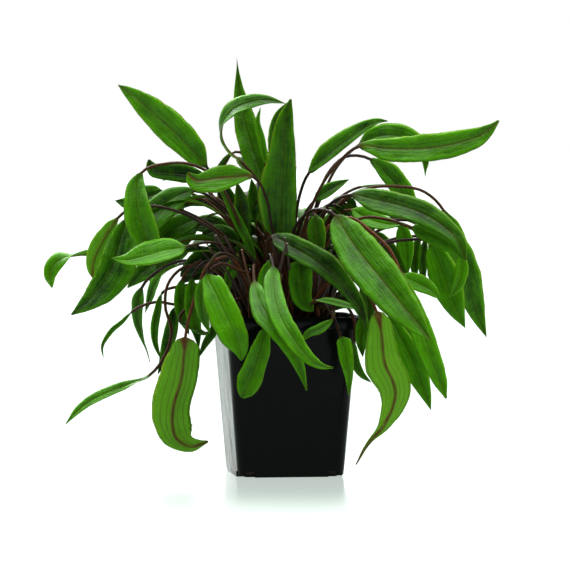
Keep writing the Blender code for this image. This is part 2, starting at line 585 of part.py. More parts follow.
def shape_leaf(row, foot):
    """The leaf's rings, as seen from the front, before the leaves are parted in depth.

    They are made from the tip back, because the stalk turns its upper side as the blade's base does.
    """
    at, direction, blade_share = leaf_stations(row, foot)
    rings = []
    for k in range(len(at) - 2, -1, -1):
        share = blade_share[k]
        if share is None:
            bend = Vector(direction[k + 1]).rotation_difference(Vector(direction[k]))
            look = np.array(bend @ Vector(look))
        else:
            look = facing(row, share)
        look = look - np.dot(look, direction[k]) * direction[k]
        look /= np.linalg.norm(look)
        side = np.cross(direction[k], look)
        section = leaf_section(row, share)
        rings.insert(0, [at[k] + a * side + b * look for a, b in section])
    on_blade = [share is not None for share in blade_share]
    return dict(name=row["name"], rings=np.array(rings), point=at[-1], on_blade=on_blade)


def leaf_samples(number, made):
    """Points spread over one leaf, each with the two rings that it lies between."""
    samples = []
    rings = made["rings"]
    tip_ring = np.repeat(made["point"][None, :], 5, axis=0)
    rows = list(rings) + [tip_ring]
    for k in range(len(rows) - 1):
        low, high = rows[k], rows[k + 1]
        length = np.linalg.norm(high.mean(axis=0) - low.mean(axis=0))
        steps = max(1, math.ceil(length / SAMPLE_STEP))
        for m in range(steps):
            t = m / steps
            ring = (1 - t) * low + t * high
            left, middle, right = ring[0], (ring[1] + ring[3] + ring[4]) / 3, ring[2]
            half = np.linalg.norm(right - left) / 2
            count = math.ceil(half / SAMPLE_STEP) if half > BLADE_LEAST_HALF else 0
            spots = [middle]
            for j in range(1, count + 1):
                spots.append(middle + (left - middle) * j / count)
                spots.append(middle + (right - middle) * j / count)
            samples += [(number, k, t, made["on_blade"][k], *spot) for spot in spots]
    return samples


def part_in_depth(made_leaves):
    """Leaves that cross in the front view are moved apart in depth, ring by ring.

    Nothing moves across or up, so the outline from the front stays as the table gives it.
    Each pair keeps its order: the one that is nearer to begin with stays in front.
    """
    samples = []
    for number, made in enumerate(made_leaves):
        samples += leaf_samples(number, made)
    table = np.array(samples)
    owner = table[:, 0].astype(int)
    first_ring = np.cumsum([0] + [len(made["rings"]) + 1 for made in made_leaves])
    knot = first_ring[owner] + table[:, 1].astype(int)
    part = table[:, 2]
    spot = table[:, [4, 6]]
    depth = table[:, 5]
    nearest, farthest = depth_limits(spot, depth)
    one, two = close_pairs(spot, owner)
    stretch = 10 * owner + 5 * table[:, 3].astype(int) + np.digitize(spot[:, 1], NECK)
    order = pair_order(one, two, stretch, depth)
    shift = np.zeros(first_ring[-1])
    for _ in range(PARTING_ROUNDS):
        now = depth + (1 - part) * shift[knot] + part * shift[knot + 1]
        wanted = np.zeros_like(now)
        votes = np.zeros_like(now)
        lack = np.maximum(LEAF_CLEARANCE - order * (now[one] - now[two]), 0.0)
        for who, sign in ((one, 0.5), (two, -0.5)):
            np.add.at(wanted, who, sign * order * lack)
            np.add.at(votes, who, lack > 0)
        for excess in (np.maximum(nearest - now, 0.0), np.minimum(farthest - now, 0.0)):
            wanted += LIMIT_WEIGHT * excess
            votes += LIMIT_WEIGHT * (excess != 0)
        push = np.zeros_like(shift)
        weight = np.zeros_like(shift)
        for near, share in ((knot, 1 - part), (knot + 1, part)):
            np.add.at(push, near, wanted * share)
            np.add.at(weight, near, votes * share)
        shift += push / np.maximum(weight, 1.0)
        shift = (1.0 - RETURN) * relax_along(shift, first_ring)
        shift[first_ring[:-1]] = 0.0
    for number, made in enumerate(made_leaves):
        own = shift[first_ring[number]:first_ring[number + 1]]
        made["rings"][:, :, 1] += own[:-1, None]
        made["point"] = made["point"] + np.array([0.0, own[-1], 0.0])


def depth_limits(spot, depth):
    """How near and how far each sample may lie, so that it stays clear of the pot's lip.

    Up to just above the rim, a sample within the lip stays within it, and one that hangs in front
    of the pot or behind it stays out there.
    """
    tilt = math.radians(POT_YAW)
    slant = spot[:, 0] * math.tan(tilt)
    outer = LIP_HALF / math.cos(tilt) + LIP_CLEARANCE
    inner = (WALL_TOP_HALF - POT_WALL) / math.cos(tilt) - LIP_CLEARANCE
    low = (spot[:, 1] < POT_HEIGHT + LIP_CLEARANCE) & (np.abs(spot[:, 0]) < LIP_HALF + LIP_CLEARANCE)
    in_front = low & (depth < slant - (outer + inner) / 2)
    behind = low & (depth > slant + (outer + inner) / 2)
    within = low & ~in_front & ~behind
    nearest = np.where(behind, slant + outer, np.where(within, slant - inner, -np.inf))
    farthest = np.where(in_front, slant - outer, np.where(within, slant + inner, np.inf))
    return nearest, farthest


def close_pairs(spot, owner):
    """Pairs of samples of different leaves that lie close together in the front view."""
    cell = np.floor(spot / NEIGHBOUR_REACH).astype(int)
    cells = defaultdict(list)
    for index, key in enumerate(map(tuple, cell)):
        cells[key].append(index)
    one, two = [], []
    for (cx, cz), inside in cells.items():
        around = [index for dx, dz in ((1, -1), (1, 0), (1, 1), (0, 1))
                  for index in cells.get((cx + dx, cz + dz), [])]
        for rank, a in enumerate(inside):
            for b in inside[rank + 1:] + around:
                if owner[a] != owner[b] and math.dist(spot[a], spot[b]) < NEIGHBOUR_REACH:
                    one.append(a)
                    two.append(b)
    return np.array(one), np.array(two)


def pair_order(one, two, stretch, depth):
    """Which leaf of each pair is further back: 1 where it is the first, -1 the second.

    A stretch of a leaf is its stalk or its blade, in the neck where all the stalks rise together,
    above it, or below it. Two stretches keep one order all along.
    """
    sums = defaultdict(float)
    for a, b, behind in zip(one, two, depth[one] - depth[two]):
        sums[stretch[a], stretch[b]] += behind
    order = []
    for a, b in zip(one, two):
        behind = sums[stretch[a], stretch[b]] - sums[stretch[b], stretch[a]]
        order.append(1.0 if behind >= 0 else -1.0)
    return np.array(order)


def relax_along(shift, first_ring):
    """Each leaf's shift is evened out along it, so that it stays a smooth curve."""
    out = shift.copy()
    for low, high in zip(first_ring, first_ring[1:]):
        own = np.pad(shift[low:high], 1, mode="edge")
        out[low:high] += EVENING * ((own[:-2] + own[2:]) / 2 - own[1:-1])
    return out


def place(points):
    """Points as seen from the front, in millimetres, turned to real places in metres."""
    seen = np.array(points, float)
    scale = 1.0 + seen[:, 1] / VIEW_DISTANCE
    x = seen[:, 0] * scale
    z = VIEW_HEIGHT + (seen[:, 2] - VIEW_HEIGHT) * scale
    return np.stack([x, seen[:, 1], z], axis=1) * MM


def make_leaf(made, collection):
    name = made["name"]
    rings = [place(ring) for ring in made["rings"]]
    rings[0][:, 2] = (SOIL_TOP + GAP) * MM
    rings.append(place([made["point"]]))
    plant_leaf = add_object(name, loft(name, rings, edges=MARGINS), collection)
    plant_leaf.data.materials.append(material(name + "_green", "leaf"))
    plant_leaf.data.shade_smooth()
    return plant_leaf


def build():
    clear_scene()
    parts = new_collection("potted_cryptocoryne")
    cutters = new_collection("cutters")
    make_pot(parts, cutters)
    make_soil(parts)
    shaped = [shape_leaf(row, foot) for row, foot in zip(LEAVES, set_out_feet(LEAVES))]
    part_in_depth(shaped)
    for made in shaped:
        make_leaf(made, parts)


build()
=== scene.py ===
# %% [markdown]
# # A potted cryptocoryne
#
# A cryptocoryne is a water plant that also grows in moist air. Here it stands as a nursery sells
# it: a crowded rosette of strap-like leaves on long brown stalks, in a small square black pot.
# This notebook dresses the solids of the frame. The solids say where every leaf and the pot are,
# and the cells below give them their fine form and their finish.

# %% Load the frame
import functools
import itertools
import math

import bmesh
import bpy
import numpy as np
from mathutils import Matrix, Vector


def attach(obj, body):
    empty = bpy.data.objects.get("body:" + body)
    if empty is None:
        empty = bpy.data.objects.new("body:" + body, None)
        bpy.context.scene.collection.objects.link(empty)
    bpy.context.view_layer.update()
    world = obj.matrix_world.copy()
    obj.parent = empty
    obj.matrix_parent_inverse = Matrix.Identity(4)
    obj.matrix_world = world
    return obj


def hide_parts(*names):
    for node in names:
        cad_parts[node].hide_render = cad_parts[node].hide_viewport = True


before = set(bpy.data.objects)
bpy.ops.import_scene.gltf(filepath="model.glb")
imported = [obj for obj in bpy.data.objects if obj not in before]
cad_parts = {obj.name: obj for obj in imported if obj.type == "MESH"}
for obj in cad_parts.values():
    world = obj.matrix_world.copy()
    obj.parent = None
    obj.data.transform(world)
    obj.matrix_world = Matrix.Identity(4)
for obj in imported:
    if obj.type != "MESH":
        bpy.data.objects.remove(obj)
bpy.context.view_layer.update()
MM = 0.001
print("nodes in the frame:", len(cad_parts))

# %% [markdown]
# ## Camera
#
# The photo was taken from about two and a half metres, with the camera a little above the plant
# and tipped down by less than two degrees. A long distance and a narrow angle keep the leaves at
# their true sizes, so the framing comes from the angle and not from coming closer.

# %% Place the camera
VIEW_DISTANCE = 2500 * MM
VIEW_HEIGHT = 200 * MM
VIEW_ACROSS = 0.3 * MM
FRAMED_WIDTH = 359.1 * MM
AIM_HEIGHT = 118.8 * MM


def show(name, data):
    """A new object in the scene."""
    made = bpy.data.objects.new(name, data)
    bpy.context.collection.objects.link(made)
    return made


camera = show("camera", bpy.data.cameras.new("camera"))
camera.data.angle = 2 * math.atan(FRAMED_WIDTH / 2 / VIEW_DISTANCE)
camera.location = (VIEW_ACROSS, -VIEW_DISTANCE, VIEW_HEIGHT)
pitch = math.atan((VIEW_HEIGHT - AIM_HEIGHT) / VIEW_DISTANCE)
camera.rotation_euler = (math.pi / 2 - pitch, 0, 0)
bpy.context.scene.camera = camera
print("camera angle in degrees:", round(math.degrees(camera.data.angle), 2))

# %% [markdown]
# ## Helpers for node trees and colours
#
# Shader trees and geometry trees are built the same way: a node is added, its settings are made,
# and its inputs are filled or linked. One small function does all three. The kinds that are used
# most have short names. Colours are written as the hex values that a picture editor shows, and
# turned to the linear values that Blender wants.

# %% Add a node, and read a hex colour
KINDS = {
    "RANGE": ("ShaderNodeMapRange", {}),
    "SMOOTH_RANGE": ("ShaderNodeMapRange", {"interpolation_type": "SMOOTHSTEP"}),
    "NOISE": ("ShaderNodeTexNoise", {}),
    "COORDINATES": ("ShaderNodeTexCoord", {}),
    "COMBINE": ("ShaderNodeCombineXYZ", {}),
    "SEPARATE": ("ShaderNodeSeparateXYZ", {}),
    "ATTRIBUTE": ("ShaderNodeAttribute", {}),
    "BUMP": ("ShaderNodeBump", {}),
    "PRINCIPLED": ("ShaderNodeBsdfPrincipled", {}),
}
for word in ("ABSOLUTE", "ADD", "COSINE", "DIVIDE", "GREATER_THAN", "LESS_THAN", "MAXIMUM",
             "MULTIPLY", "MULTIPLY_ADD", "PINGPONG", "POWER", "SINE", "SUBTRACT"):
    KINDS[word] = ("ShaderNodeMath", {"operation": word})
for word in ("ADD", "LENGTH", "MULTIPLY", "SCALE"):
    KINDS["VECTOR_" + word] = ("ShaderNodeVectorMath", {"operation": word})
for word, data_type in (("COLOUR", "RGBA"), ("VALUE", "FLOAT"), ("VECTOR", "VECTOR")):
    KINDS["MIX_" + word] = ("ShaderNodeMix", {"data_type": data_type})


def add_node(tree, kind, *inputs, **settings):
    """Adds a node, makes its settings, and fills or links its inputs.

    A kind that isn't in the table and has no Node in its name is a geometry node. Inputs are
    values, sockets or nodes in their order, or one dictionary of them by name. A node gives its
    first output.
    """
    name, known = KINDS.get(kind, (kind if "Node" in kind else "GeometryNode" + kind, {}))
    node = tree.nodes.new(name)
    for setting, value in {**known, **settings}.items():
        setattr(node, setting, value)
    sockets = [socket for socket in node.inputs if socket.enabled]
    by_name = inputs[0] if inputs and isinstance(inputs[0], dict) else None
    for key, value in by_name.items() if by_name else enumerate(inputs):
        found = next(s for s in sockets if s.name == key) if by_name else sockets[key]
        if isinstance(value, bpy.types.Node):
            value = next(socket for socket in value.outputs if socket.enabled)
        if isinstance(value, bpy.types.NodeSocket):
            tree.links.new(value, found)
        else:
            found.default_value = value
    return node


def colour(hex_value):
    """A linear colour with full alpha, from an sRGB hex value such as #3f7a1c."""
    parts = [int(hex_value[k:k + 2], 16) / 255 for k in (1, 3, 5)]
    linear = [c / 12.92 if c <= 0.04045 else ((c + 0.055) / 1.055) ** 2.4 for c in parts]
    return (*linear, 1.0)


# %% [markdown]
# ## From a leaf's solid to its lines
#
# Each leaf grew as one piece: a round stalk that flattens into a blade. The solid of a leaf in the
# frame is lofted through rings of five corners. From the tip back, each ring is what the ring
# before it touches, so the rings can be found again, and with them the leaf's middle line, its
# two margins and the way its upper face looks. A finer leaf is then grown on those lines.

# %% Find the rings of a leaf's solid
def rings_of(node):
    """The leaf's rings of five corners from the soil to the tip, the tip, and who touches whom."""
    solid = bmesh.new()
    solid.from_mesh(node.data)
    bmesh.ops.remove_doubles(solid, verts=solid.verts, dist=0.001 * MM)
    touching = [{edge.other_vert(corner).index for edge in corner.link_edges}
                for corner in solid.verts]
    place = np.array([corner.co for corner in solid.verts])
    solid.free()
    for tip in range(len(place)):
        levels, seen = [{tip}], {tip}
        while levels[-1]:
            levels.append(set().union(*(touching[corner] for corner in levels[-1])) - seen)
            seen |= levels[-1]
        levels = levels[1:-1]
        if all(len(level) == 5 for level in levels):
            return [sorted(level) for level in reversed(levels)], place, place[tip], touching
    raise ValueError(node.name + " isn't a leaf")


def order_widest(ring, place, touching, onward):
    """The widest ring's corners in the order right margin, top, left margin, rib, rib."""
    pairs = [(np.linalg.norm(place[a] - place[b]), a, b) for a in ring for b in ring if a < b]
    _, one, other = max(pairs)
    top = next(c for c in ring if c not in (one, other) and {one, other} <= touching[c])
    ribs = [c for c in ring if c not in (one, other, top)]
    up = place[top] - place[ribs].mean(axis=0)
    right = np.dot(place[one] - place[other], np.cross(onward, up)) > 0
    one, other = (one, other) if right else (other, one)
    if ribs[0] not in touching[other]:
        ribs.reverse()
    return [one, top, other, *ribs]


ORDERS = np.array(list(itertools.permutations(range(5))))


def order_like(known, ring, place):
    """The ring's corners in the order that lies most like the known ring's corners."""
    choices = np.array(ring)[ORDERS]
    centred = place[choices] - place[ring].mean(axis=0)
    wanted = place[known] - place[known].mean(axis=0)
    misfit = np.square(centred - wanted).sum(axis=(1, 2))
    return list(choices[misfit.argmin()])


def lines_of(node):
    """Right margin, top, left margin and two rib lines of a leaf, and its tip."""
    rings, place, tip, touching = rings_of(node)
    spread = [np.ptp(place[ring], axis=0).max() for ring in rings]
    widest = int(np.argmax(spread))
    onward = place[rings[min(widest + 1, len(rings) - 1)]].mean(axis=0)
    onward = onward - place[rings[widest - 1]].mean(axis=0)
    ordered = {widest: order_widest(rings[widest], place, touching, onward)}
    for k in range(widest + 1, len(rings)):
        ordered[k] = order_like(ordered[k - 1], rings[k], place)
    for k in range(widest - 1, -1, -1):
        ordered[k] = order_like(ordered[k + 1], rings[k], place)
    return np.array([place[ordered[k]] for k in range(len(rings))]), tip


print("leaf_01 has", len(lines_of(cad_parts["leaf_01"])[0]), "rings")

# %% [markdown]
# ## Fine lines along a leaf
#
# The solid has a ring every centimetre or so. A living leaf has no corners along it, so a smooth
# curve is laid through the rings, and points are set out on it closely: every few millimetres on
# the stalk and more closely on the blade. Each point keeps what the leaf is like there: where
# its margins are, which way its upper face looks, how thick the stalk is and how far along the
# blade it lies. A stalk is stouter at the soil, where its base sheathes the next one.

# %% Lay a smooth curve through values
def unit(vectors):
    """The same directions, with length one."""
    return vectors / np.linalg.norm(vectors, axis=-1, keepdims=True)


def smooth_along(places, values, wanted):
    """Values between the given places, on a smooth curve through them."""
    slope = np.gradient(values, places, axis=0)
    k = np.clip(np.searchsorted(places, wanted, side="right") - 1, 0, len(places) - 2)
    span = places[k + 1] - places[k]
    t = (wanted - places[k]) / span
    t, span = t[:, None], span[:, None]
    return ((2 * t ** 3 - 3 * t ** 2 + 1) * values[k] + (t ** 3 - 2 * t ** 2 + t) * span * slope[k]
            + (3 * t ** 2 - 2 * t ** 3) * values[k + 1] + (t ** 3 - t ** 2) * span * slope[k + 1])


def lengths_along(points):
    """How far along a row of points each of them lies."""
    return np.concatenate([[0.0], np.cumsum(np.linalg.norm(np.diff(points, axis=0), axis=1))])


# %% Set out a leaf's fine points
STALK_STEP = 4.0 * MM
BLADE_STEP = 1.7 * MM
TIP_STEPS = (2.2 * MM, 1.1 * MM, 0.5 * MM)
LEAST_STALK_STEPS = 4
STALK_RADIUS = 0.95 * MM
SHEATH_RADIUS = 1.7 * MM
SHEATH_LENGTH = 38 * MM
SHEATH_CURVE = 1.5
ROOTED = 1.5 * MM
HALF_OF_A_BLADE = 1.1 * MM


def fine_lines(middle, right, left, up, base):
    """Closely set points of a leaf, with what it is like at each of them.

    Right and left lead from the middle line to the margins, and base counts the stalk's rings.
    """
    places = lengths_along(middle)
    start, end = places[base], places[-1]
    stalk = np.linspace(0, start, max(int(start / STALK_STEP), LEAST_STALK_STEPS), endpoint=False)
    blade = np.linspace(start, end - TIP_STEPS[0], int((end - start) / BLADE_STEP))
    wanted = np.concatenate([stalk, blade, [end - step for step in TIP_STEPS[1:]], [end]])
    fine = {"middle": smooth_along(places, middle, wanted)}
    fine["right"] = smooth_along(places, right, wanted)
    fine["left"] = smooth_along(places, left, wanted)
    onward = unit(np.gradient(fine["middle"], axis=0))
    facing = smooth_along(places[base:], up[base:], np.maximum(wanted, start))
    for k in range(len(stalk), len(wanted)):
        facing[k] = unit(facing[k] - np.dot(facing[k], onward[k]) * onward[k])
    for k in range(len(stalk) - 1, -1, -1):
        facing[k] = unit(facing[k + 1] - np.dot(facing[k + 1], onward[k]) * onward[k])
    side = np.cross(onward, facing)
    sheath = np.clip(1 - wanted / SHEATH_LENGTH, 0, 1)[:, None]
    radius = STALK_RADIUS + (SHEATH_RADIUS - STALK_RADIUS) * sheath ** SHEATH_CURVE
    on_stalk = (wanted <= start)[:, None]
    fine["right"] = np.where(on_stalk, side * radius, fine["right"])
    fine["left"] = np.where(on_stalk, -side * radius, fine["left"])
    fine["right"][-1] = fine["left"][-1] = 0.0
    fine["up"] = facing
    fine["stalk"] = radius[:, 0]
    fine["along"] = wanted - start
    share_of_blade = (wanted - start) / (end - start)
    fine["share"] = np.where(wanted > start, share_of_blade, (wanted - start) / start)
    fine["half"] = np.linalg.norm(fine["right"] - fine["left"], axis=1) / 2
    fine["middle"][0] -= np.array([0.0, 0.0, ROOTED])
    return fine


def fine_leaf(node):
    """The fine lines of a leaf that the frame has as a solid."""
    rings, tip = lines_of(node)
    ribs = (rings[:, 3] + rings[:, 4]) / 2
    half = np.linalg.norm(rings[:, 0] - rings[:, 2], axis=1) / 2
    base = int(np.argmax(half > HALF_OF_A_BLADE)) - 1
    middle = np.vstack([rings[:base].mean(axis=1), ((rings[:, 1] + ribs) / 2)[base:], [tip]])
    right = np.vstack([rings[:, 0] - middle[:-1], np.zeros((1, 3))])
    left = np.vstack([rings[:, 2] - middle[:-1], np.zeros((1, 3))])
    up = unit(rings[:, 1] - ribs)
    return fine_lines(middle, right, left, np.vstack([up, up[-1:]]), base)


leaf_names = sorted(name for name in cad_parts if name.startswith("leaf_"))
leaves = {name: fine_leaf(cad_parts[name]) for name in leaf_names}
print("leaves:", len(leaves), "with points in all:", sum(len(f["share"]) for f in leaves.values()))

# %% [markdown]
# ## Give the leaves their own outlines
#
# The solids have even, mirrored outlines. Real blades have fuller shoulders where they leave the
# stalk, and one half is often wider than the other. Every leaf gets some shoulder. For the leaves
# that are seen best, a table gives the width of the right and the left half, in millimetres, at
# places from 0 at the stalk to 1 at the tip. Right is the right hand of someone who walks along
# the upper face towards the tip.

# %% Shape the margins
SHOULDER = 0.3
SHOULDER_AT = 0.1
SHOULDER_LONG = 0.09
NO_LENGTH = 1e-6
OUTLINES = {
    4: [(0.02, 5.5, 8), (0.1, 9, 12), (0.3, 9.2, 16), (0.46, 8.6, 13.5), (0.6, 7.6, 9.5),
        (0.75, 6, 8), (0.9, 4, 4.5)],
    6: [(0.05, 2.5, 2.5), (0.3, 7.9, 6.8), (0.55, 7.3, 11), (0.75, 4.5, 9), (0.9, 3, 6)],
    7: [(0.05, 3, 3), (0.3, 7, 6), (0.55, 6.5, 5), (0.8, 5.5, 4.5), (0.92, 3.5, 3)],
    8: [(0.14, 6, 6), (0.34, 8.6, 8.5), (0.55, 9.8, 10.2), (0.76, 9, 10), (0.9, 6, 7)],
    10: [(0.05, 3, 3), (0.25, 7, 9), (0.5, 8.5, 12), (0.75, 7, 10), (0.9, 4, 6)],
    11: [(0.05, 4, 5), (0.25, 8, 13), (0.45, 8.5, 16), (0.7, 7, 11), (0.9, 3, 4)],
    13: [(0.02, 3, 3), (0.15, 4, 4), (0.3, 4.5, 4.5), (0.5, 5.5, 5.5), (0.75, 5, 5),
         (0.9, 3, 3)],
    15: [(0.02, 7, 4), (0.08, 10, 9), (0.2, 10.2, 13.5), (0.35, 9.5, 15), (0.5, 10, 14.5),
         (0.61, 12, 12.5), (0.71, 13, 9), (0.82, 10.5, 4.5), (0.9, 6, 3.5), (0.96, 2.5, 2)],
    16: [(0.05, 1.5, 1.5), (0.3, 3.4, 3.4), (0.6, 4, 4), (0.85, 2.5, 2.5)],
    18: [(0.05, 3, 4), (0.3, 7, 8), (0.6, 7, 8), (0.85, 4, 4)],
    19: [(0.05, 3, 3), (0.3, 9, 9), (0.6, 9, 9), (0.85, 5, 5)],
    22: [(0.06, 4, 8), (0.25, 9, 8.5), (0.5, 11, 9.3), (0.75, 10, 8), (0.9, 5, 5)],
    23: [(0.05, 3, 4), (0.3, 6.5, 6.5), (0.5, 7.5, 6.4), (0.75, 8.5, 7.5), (0.9, 6, 6),
         (0.97, 3, 3)],
    24: [(0.03, 3, 4), (0.15, 5.7, 5), (0.35, 9, 6), (0.6, 6, 6), (0.85, 3, 3)],
    25: [(0.03, 3.5, 3), (0.12, 6.8, 4.2), (0.3, 7, 6), (0.6, 6.5, 6), (0.85, 3.5, 3.5)],
    26: [(0.05, 3, 3), (0.3, 8, 8), (0.6, 8, 8), (0.85, 4, 4)],
    27: [(0.05, 3, 3), (0.25, 5, 7.9), (0.5, 4.5, 7.5), (0.75, 3, 5), (0.9, 1.5, 2.5)],
    29: [(0.04, 3.5, 3.5), (0.2, 8.9, 6.8), (0.45, 9.4, 9.2), (0.65, 9, 8.4), (0.82, 7.5, 6),
         (0.94, 3, 2.5)],
    30: [(0.05, 3, 3), (0.3, 6, 8.4), (0.6, 7, 8), (0.85, 4, 4)],
    31: [(0.03, 3, 4), (0.15, 9.5, 7), (0.35, 10.8, 7.5), (0.55, 9, 8.4), (0.75, 6, 6),
         (0.9, 4, 4)],
    37: [(0.03, 6, 5), (0.12, 11, 10), (0.3, 15, 13), (0.5, 16.5, 13), (0.75, 12.5, 9.5),
         (0.9, 7, 5)],
    38: [(0.05, 3, 2.5), (0.25, 7.5, 5), (0.5, 8.5, 6.5), (0.75, 6.5, 6.5), (0.9, 4, 4)],
    40: [(0.02, 5.5, 5), (0.08, 7.4, 8), (0.2, 9, 10.5), (0.33, 11, 13), (0.45, 11, 10.8),
         (0.555, 8.5, 8.6), (0.7, 4.2, 3.7), (0.8, 1.6, 1.6), (0.95, 0.9, 0.9)],
    41: [(0.05, 3.7, 5.8), (0.35, 5.2, 4.6), (0.6, 3.5, 3), (0.8, 2.2, 1.6)],
    42: [(0.03, 4, 4), (0.1, 8, 7), (0.3, 8, 8.5), (0.45, 6.8, 9.4), (0.65, 4.8, 6.5),
         (0.85, 3.5, 4)],
    43: [(0.03, 7, 7), (0.2, 8, 7.5), (0.45, 8.5, 7), (0.7, 8.5, 4.5), (0.9, 5, 3)],
}
AT_STALK = (0.0, 1.2, 1.2)
AT_TIP = (1.0, 0.25, 0.25)
SOFTEN = np.linspace(-0.04, 0.04, 5)
# how far a blade turns about its own midrib, in degrees, and the share within which it turns
TURNS = {16: -50.0, 47: -30.0}
TURN_WITHIN = 0.3


def shape_margins(fine, outline):
    """Gives a leaf's two halves the widths of its outline, or else fuller shoulders."""
    share = np.clip(fine["share"], 0, 1)
    on_blade = fine["share"] > 0
    if outline:
        rows = np.array([AT_STALK] + outline + [AT_TIP])
        for k, margin in enumerate(("right", "left"), start=1):
            width = np.mean([np.interp(share + near, rows[:, 0], rows[:, k] * MM)
                             for near in SOFTEN], axis=0)
            length = np.maximum(np.linalg.norm(fine[margin], axis=1), NO_LENGTH)
            wider = np.where(on_blade, width / length, 1.0)
            wider[-1] = 0.0
            fine[margin] = fine[margin] * wider[:, None]
    else:
        shoulder = 1 + SHOULDER * np.exp(-((share - SHOULDER_AT) / SHOULDER_LONG) ** 2)
        for margin in ("right", "left"):
            fine[margin] = fine[margin] * np.where(on_blade, shoulder, 1.0)[:, None]
    fine["half"] = np.linalg.norm(fine["right"] - fine["left"], axis=1) / 2


def turn_margins(fine, degrees):
    """Turns a blade about its own midrib, more and more away from the stalk."""
    onward = unit(np.gradient(fine["middle"], axis=0))
    angle = np.radians(degrees) * np.clip(fine["share"] / TURN_WITHIN, 0, 1)[:, None]
    for way in ("right", "left", "up"):
        turned = fine[way] * np.cos(angle) + np.cross(onward, fine[way]) * np.sin(angle)
        fine[way] = np.where(fine["share"][:, None] > 0, turned, fine[way])


for name, fine in leaves.items():
    shape_margins(fine, OUTLINES.get(int(name[-2:])))
    turn_margins(fine, TURNS.get(int(name[-2:]), 0.0))
print("leaves with an outline of their own:", len(OUTLINES))

# %% [markdown]
# ## One tree that grows a leaf
#
# A leaf's form follows a rule, so Geometry Nodes can grow it. The tree sweeps a ring along the
# middle line and then puts each point of the ring where a leaf has it. On the stalk the ring
# stays round. On the blade it is pressed flat: half of it becomes the upper face and half the
# underside. The upper face has a channel over the midrib, the underside has the midrib standing
# out, both halves bulge a little, and the margins wave. The points crowd near the midrib, where
# the form changes fastest. The tree also writes down how far across the leaf each point lies and
# on which face, which the finish needs.

# %% Build the leaf tree
AROUND = 40
BLADE_THICKNESS = 0.32 * MM
MIDRIB_WIDTH = 1.25 * MM
MIDRIB_HEIGHT = 0.75 * MM
CHANNEL_DEPTH = 0.3 * MM
BULGE = 0.14
WAVE_HEIGHT = 2.0 * MM
WAVE_LENGTH = 17 * MM
WAVY_FROM, WAVY_TO, MOST_WAVY = 2 * MM, 9 * MM, 3.0
UNEVENNESS = 0.16
NICKS_PER_WAVE = 3.1
CROWDING = 0.58
SHARP_MARGIN = 6.0
FADES_BY = 0.72
OTHER_MARGIN = 7.3
BLADE_FROM, BLADE_TO = -0.02, 0.12
MERGED = 0.004 * MM


def new_tree(name, inputs):
    """A geometry tree with the named inputs, what adds nodes to it, and what its inputs give.

    Each input has its value, whose type it takes, or None for a material.
    """
    tree = bpy.data.node_groups.new(name, "GeometryNodeTree")
    tree.interface.new_socket("Geometry", in_out="INPUT", socket_type="NodeSocketGeometry")
    for title, value in inputs.items():
        kind = {int: "Int", float: "Float"}.get(type(value), "Material")
        socket = tree.interface.new_socket(title, in_out="INPUT", socket_type="NodeSocket" + kind)
        if value is not None:
            socket.default_value = value
    tree.interface.new_socket("Geometry", in_out="OUTPUT", socket_type="NodeSocketGeometry")
    add = functools.partial(add_node, tree)
    return tree, add, add("NodeGroupInput").outputs


